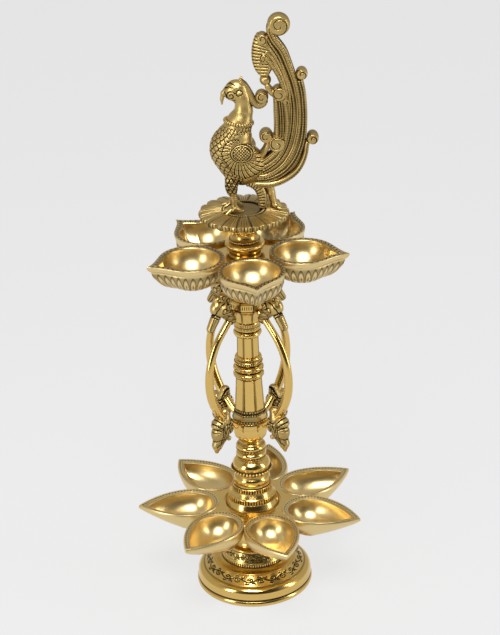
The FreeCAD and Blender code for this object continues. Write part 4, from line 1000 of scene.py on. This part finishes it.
# Legs and feet
def leg(sign):
    y0 = 7.2 * sign

    def shape(x, y, z):
        d = limb(x, y, z, (-8.4, y0, 376.0), (-7.2, y0, 361.5), 3.2, 2.4)
        for tx, ty in ((-17.0, y0 + 1.5 * sign), (-14.0, y0 + 6.0 * sign), (-15.0, y0 - 3.6 * sign)):
            d = smin(d, chain(x, y, z, ((-7.0, y0, 360.8), ((tx - 7.0) / 2, (ty + y0) / 2, 360.2),
                                        (tx, ty, 358.2)), (2.6, 1.9, 1.3), 1.0, 0.8), 1.0)
        d = smin(d, limb(x, y, z, (-7.0, y0, 360.2), (-1.0, y0, 358.4), 2.2, 1.2), 1.0)
        return np.maximum(d, 357.0 - z)

    def marks(x, y, z):
        return smoothstep((np.abs(saw(z * 0.55)) - 0.7) / 0.25) * 0.3 * (z > 362)

    return shape, marks


for sign, name in ((1, "left"), (-1, "right")):
    shape, marks = leg(sign)
    low_y, high_y = sorted((sign * -1, sign * 18))
    mesh = field_mesh("peacock_shank_" + name, (-21, low_y, 356), (4, high_y, 381), 0.35, shape, marks)
    finial_piece("peacock_shank_" + name, mesh, "peacock_leg_" + name)



def feather(name, a, b, depth, *nodes, around=40, relief=None):
    """Sweep on the finial."""
    finial_piece(name, sweep_mesh(name, a, b, depth, around=around, relief=relief), *nodes)


# Crest plume from the head down to the tail
a, b, s = edges_of(((-0.6, 468.8), (3.6, 464.2), (7.2, 457.2), (10.4, 450.6), (14.0, 447.4), (18.0, 448.6),
                    (20.6, 452.4)), (3.4, 5.0, 5.6, 6.0, 6.4, 6.0, 5.0))
feather("crest_feather", a, b, np.interp(s, (0, s[-1]), (3.4, 5.0)), "peacock_crest",
        relief=rib_relief(((-0.45, 0.16), (0.45, 0.16)), 2.2, 0.2))

# Tail ribs: centre line, widths, half depth, beaded lines on their faces
RIBS = (
    ("outer", ((8.5, 380.2), (21.4, 379.6), (32.0, 382.4), (42.2, 388.8), (48.0, 396.4), (51.4, 405.2),
               (52.6, 412.6), (53.8, 417.0)), (6.2, 6.2, 6.0, 5.6, 5.0, 4.4, 4.4), 6.4, ((-0.35, 0.22),)),
    ("back", ((8.6, 383.4), (21.5, 384.2), (33.4, 389.8), (42.2, 399.4), (47.4, 410.6), (50.0, 421.2),
              (51.1, 433.4), (51.0, 446.8), (50.0, 459.0), (47.8, 469.0)),
     (5.4, 5.4, 5.4, 5.2, 5.0, 4.8, 4.6), 5.6, ((-0.35, 0.22), (0.35, 0.22))),
    ("long_right", ((8.0, 386.4), (21.6, 388.2), (33.4, 396.6), (41.0, 408.6), (45.2, 422.7),
                    (46.8, 437.3), (46.2, 451.8), (43.7, 466.4), (39.2, 480.6), (34.7, 492.4),
                    (27.8, 502.6), (25.0, 510.0), (26.4, 516.5)),
     (5.0, 5.2, 5.2, 5.2, 5.2, 5.2, 5.4, 6.0, 6.8, 7.0, 5.6), 6.2, ((-0.2, 0.26),)),
    ("long_left", ((7.6, 389.2), (19.4, 392.2), (30.6, 401.0), (37.0, 412.2), (40.4, 425.3),
                   (41.8, 438.7), (41.5, 450.8), (39.0, 463.6), (34.6, 477.6), (30.0, 489.0),
                   (24.0, 498.6), (20.8, 506.0)), (4.8, 5.0, 5.0, 5.0, 5.0, 5.0, 5.0, 4.8, 4.6, 4.4),
     5.4, ((-0.3, 0.24), (0.35, 0.2))),
    ("inner_long", ((7.0, 391.8), (17.2, 395.4), (27.4, 402.4), (33.4, 411.2), (36.2, 421.4),
                    (37.3, 432.0), (36.8, 441.6), (35.6, 451.0)), (4.8, 4.8, 4.8, 4.8, 4.8, 4.8), 6.4,
     ((0.0, 0.30),)),
    ("inner_mid", ((27.0, 405.0), (30.6, 411.0), (32.4, 419.0), (33.0, 427.0), (33.0, 435.0), (32.6, 445.0),
                   (31.6, 455.0)), (4.2, 4.4, 4.4, 4.4, 4.4), 5.4, ((-0.3, 0.24), (0.35, 0.2))),
    ("inner_edge", ((24.6, 408.0), (27.0, 414.0), (28.4, 421.0), (28.8, 430.0), (28.6, 441.0), (28.4, 453.5)),
     (4.4, 4.8, 4.8, 4.6, 4.2), 5.8, ((0.0, 0.32),)),
    ("curl_large", ((5.4, 394.2), (14.9, 398.2), (23.0, 403.4), (28.6, 409.0), (31.0, 413.6)),
     (5.0, 5.4, 6.0, 6.0, 5.6), 7.0, ((0.0, 0.28),)),
    ("curl_small", ((9.0, 398.2), (13.4, 402.4), (18.0, 407.6), (21.0, 413.6), (22.0, 419.0)),
     (6.0, 5.6, 5.2, 4.8, 4.4), 6.0, ()),
    ("leaf_high", ((18.2, 501.4), (22.6, 496.4), (27.4, 490.0), (32.6, 480.6), (36.9, 469.6),
                   (39.4, 458.2), (39.8, 448.0)), (4.0, 4.2, 4.2, 4.2, 4.0, 3.4), 5.4, ((0.0, 0.30),)),
    ("leaf_low", ((17.6, 488.6), (20.0, 489.6), (23.0, 485.6), (27.8, 478.6), (32.4, 469.6), (35.4, 459.4),
                  (36.8, 450.0)), (5.0, 5.2, 5.0, 4.8, 4.6, 4.0, 3.4), 6.6, ((0.0, 0.30),)),
    ("leaf_mid", ((20.6, 494.0), (26.4, 486.6), (31.4, 476.6), (35.4, 465.6), (37.8, 454.0)),
     (3.4, 3.6, 3.6, 3.4, 3.0), 5.6, ()),
    ("branch", ((20.8, 466.0), (22.8, 461.4), (26.0, 457.6), (30.0, 455.4)), (4.0, 5.0, 6.0, 6.0), 5.0, ()),
    ("branch_low", ((27.6, 459.0), (31.6, 455.0), (35.0, 450.0), (36.6, 446.0)), (6.0, 6.6, 6.0, 4.4),
     5.6, ()),
)
for name, points, widths, depth, lines in RIBS:
    a, b, s = edges_of(points, widths)
    relief = rib_relief(lines, 2.1, 0.4) if lines else plain_relief
    nodes = ("peacock_tail",) if name == "outer" else ()
    feather("tail_" + name, a, b, np.full(len(s), depth), *nodes, around=72, relief=relief)


def barb_relief(along, phi, h, c):
    comb = np.abs(saw(along / 2.5))[:, None]
    side = smoothstep((0.55 - np.cos(phi)) / 0.3)[None, :]
    g = smoothstep((comb - 0.55) / 0.3) * side
    h[...] -= 0.7 * g
    c[...] += 0.9 * g


def matched(curve, other):
    """The curve with as many points as the other one."""
    at, own = np.linspace(0, 1, len(other)), np.linspace(0, 1, len(curve))
    return np.stack([np.interp(at, own, curve[:, k]) for k in range(2)], 1)


# Thin web behind the ribs, which closes the gaps between them
outer = spline(((8.0, 381.0), (22.0, 381.0), (34.0, 385.0), (43.6, 391.6), (49.0, 401.0), (50.8, 412.0),
                (50.6, 425.0), (50.2, 440.0), (47.0, 455.0)), 0.45)[1]
inner = spline(((7.0, 393.0), (16.0, 397.0), (23.6, 402.6), (28.0, 411.0), (28.8, 424.0), (28.8, 438.0),
                (29.0, 452.0)), 0.45)[1]
feather("tail_web", outer, matched(inner, outer), np.full(len(outer), 3.6))

# Eye feather of the tail: barbs round its outer edge
edge = spline(((18.0, 508.2), (13.6, 506.0), (11.0, 499.4), (9.8, 491.7), (10.2, 483.4), (12.8, 476.0),
               (17.6, 470.6)), 0.45)[1]
spine = spline(((20.6, 503.4), (24.6, 497.0), (27.6, 490.6), (28.8, 485.0), (27.4, 479.6), (24.6, 474.4),
                (22.0, 470.4)), 0.45)[1]
feather("tail_eye_feather", edge, matched(spine, edge), np.full(len(edge), 5.2), around=96,
        relief=barb_relief)


def knob(name, centre, radius):
    mesh = bpy.data.meshes.new(name)
    work = bmesh.new()
    bmesh.ops.create_icosphere(work, subdivisions=4, radius=radius * 0.001,
                               matrix=Matrix.Translation(Vector(centre) * 0.001))
    work.to_mesh(mesh)
    work.free()
    mesh.polygons.foreach_set("use_smooth", np.ones(len(mesh.polygons), dtype=bool))
    mesh.materials.append(antique)
    finial_piece(name, mesh)


knob("tail_ball", (20.4, 0, 468.2), 4.7)


COIL_CUT = 0.558


def scroll(name, centre, radius, depth, turns, first):
    """Coiled end of a rib: a rounded puck with its coil cut into both faces."""
    columns = 240
    th = np.arange(columns) * TAU / columns
    coil = radius * 0.93
    rows = []
    dark = []
    shares = np.linspace(0.0, 1.0, 40)
    for side, way in ((1, shares), (-1, shares[-2::-1])):
        for share in way:
            r = radius * share
            round_off = depth * (1 - np.sqrt(1 - np.clip((share - 0.72) / 0.28, 0, 1) ** 2))
            wind = (coil - r) / coil * turns - (th - first) / TAU
            near = np.abs(wind - np.round(wind)) * coil / turns
            line = line_at(near, COIL_CUT) * (0.16 < share < 0.94)
            dome = 0.12 * depth * (1 - share ** 2)
            y = side * np.maximum(depth + dome - round_off - 0.9 * line, 0)
            rows.append(np.stack((centre[0] + r * np.cos(th), y, centre[1] + r * np.sin(th)), 1))
            dark.append(0.95 * line + 0.25 * (share > 0.96))
    finial_piece(name, mesh_from(name, np.array(rows), quads_of(len(rows), columns), np.array(dark)))


SCROLLS = (
    ("scroll_top", (31.9, 513.9), 9.2, 6.6, 1.7, math.radians(200)),
    ("scroll_outer_high", (49.6, 472.9), 4.8, 6.2, 1.2, math.radians(230)),
    ("scroll_outer_low", (57.6, 418.4), 5.0, 6.8, 1.2, math.radians(200)),
    ("scroll_inner_large", (28.4, 415.0), 7.6, 7.8, 1.6, math.radians(-20)),
    ("scroll_inner_small", (19.8, 421.2), 5.6, 6.8, 1.2, math.radians(-20)),
    ("scroll_leaf", (18.6, 502.8), 4.8, 6.2, 1.3, math.radians(200)),
    ("scroll_bulb", (31.2, 457.2), 6.4, 7.0, 1.3, math.radians(60)),
    ("scroll_leaf_low", (19.4, 487.4), 3.6, 7.2, 1.0, math.radians(90)),
    ("scroll_bulb_low", (36.4, 450.4), 3.4, 6.4, 1.0, math.radians(120)),
    ("scroll_crest", (17.2, 454.4), 5.4, 5.6, 1.3, math.radians(-40)),
)
for entry in SCROLLS:
    scroll(*entry)


# Prop under the tail, with a clawed foot, and the plume draped beside it
def prop(x, y, z):
    d = chain(x, y, z, ((21.0, 0, 382.0), (23.0, 0, 371.0), (25.2, 0, 361.0)), (4.0, 3.2, 2.8), 1.2, 1.0)
    for ty in (-4.6, 0.0, 4.6):
        d = smin(d, limb(x, y, z, (25.2, ty * 0.3, 361.0), (30.0, ty, 358.4), 2.3, 1.5), 0.8)
    d = smin(d, limb(x, y, z, (25.0, 0, 361.0), (20.5, 0, 358.4), 2.3, 1.4), 0.8)
    return np.maximum(d, 357.0 - z)


def prop_marks(x, y, z):
    return smoothstep((np.abs(saw(y / 3.0)) - 0.7) / 0.25) * 0.35 * (z < 380)


finial_piece("tail_prop_cast", field_mesh("tail_prop_cast", (14, -9, 356), (35, 9, 388), 0.38, prop,
                                          prop_marks), "peacock_tail_prop")
a, b, s = edges_of(((1.6, 381.8), (7.8, 380.4), (12.4, 377.0), (15.0, 371.6), (15.8, 365.0), (15.0, 358.6)),
                   (6.5, 8.4, 9.0, 8.2, 6.0))
feather("draped_plume", a, b, np.full(len(s), 6.0), "peacock_drape", around=64, relief=barb_relief)

# ---------------------------------------------------------------- CAD pieces that stay in sight
for node, slot in (("lower_hub", "satin_brass"), ("upper_hub", "satin_brass"),
                   ("column_stud", "machined_brass"), ("spool_stud", "machined_brass"),
                   ("finial_stud", "machined_brass")):
    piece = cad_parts[node]
    piece.data.materials.clear()
    piece.data.materials.append(SLOTS[slot])

# ---------------------------------------------------------------- floor, world and lights
FLOOR_HALF = 9
floor_mesh = bpy.data.meshes.new("floor")
floor_mesh.from_pydata([(-FLOOR_HALF, -FLOOR_HALF, 0), (FLOOR_HALF, -FLOOR_HALF, 0),
                        (FLOOR_HALF, FLOOR_HALF, 0), (-FLOOR_HALF, FLOOR_HALF, 0)], [], [(0, 1, 2, 3)])
floor = bpy.data.objects.new("floor", floor_mesh)
scene.collection.objects.link(floor)
floor_mat = bpy.data.materials.new("floor")
floor_mat.use_nodes = True
for socket, value in (("Base Color", (0.09, 0.09, 0.09, 1)), ("Roughness", 0.9), ("Specular IOR Level", 0.0),
                      ("Emission Color", (1, 1, 1, 1)), ("Emission Strength", 0.735)):
    floor_mat.node_tree.nodes["Principled BSDF"].inputs[socket].default_value = value
floor.data.materials.append(floor_mat)

# Pale backdrop for the camera, and for reflections a pale room that is dark in front
BACKDROP = (0.83, 0.83, 0.83, 1)
DARK_SIDE = (0.0, -0.83, 0.56)
world = bpy.data.worlds.new("studio")
scene.world = world
world.use_nodes = True
tree = world.node_tree
tree.nodes.clear()
out = add_node(tree, "OutputWorld")
flat = add_node(tree, "Background", {"Color": BACKDROP})
room = add_node(tree, "Background", {"Strength": 0.85})
path = add_node(tree, "LightPath")
mix = add_node(tree, "MixShader")
coords = add_node(tree, "TexCoord")
lobe = add_node(tree, "VectorMath", {1: DARK_SIDE})
lobe.operation = "DOT_PRODUCT"
shade = add_node(tree, "MapRange", {"From Min": 0.30, "From Max": 0.88})
shade.interpolation_type = "SMOOTHSTEP"
tone = add_node(tree, "Mix", {6: (0.66, 0.65, 0.62, 1), 7: (0.05, 0.045, 0.035, 1)})
tone.data_type = "RGBA"
for output, socket in ((coords.outputs["Generated"], lobe.inputs[0]),
                       (lobe.outputs["Value"], shade.inputs["Value"]),
                       (shade.outputs["Result"], tone.inputs[0]),
                       (tone.outputs[2], room.inputs["Color"]),
                       (path.outputs["Is Camera Ray"], mix.inputs["Fac"]),
                       (room.outputs[0], mix.inputs[1]),
                       (flat.outputs[0], mix.inputs[2]),
                       (mix.outputs[0], out.inputs["Surface"])):
    tree.links.new(output, socket)


def softbox(name, place_at, aim, wide, tall, power):
    data = bpy.data.lights.new(name, "AREA")
    data.shape = "RECTANGLE"
    data.size = wide
    data.size_y = tall
    data.energy = power
    light = bpy.data.objects.new(name, data)
    scene.collection.objects.link(light)
    light.location = place_at
    light.rotation_euler = (Vector(aim) - Vector(place_at)).to_track_quat("-Z", "Y").to_euler()


softbox("top", (-0.05, -0.75, 1.45), (0, 0, 0.25), 0.72, 0.72, 23)
softbox("key_left", (-1.15, -0.95, 0.66), (0, 0, 0.28), 0.36, 0.9, 9)
softbox("fill_right", (1.35, -0.35, 0.65), (0, 0, 0.28), 0.22, 1.1, 6)
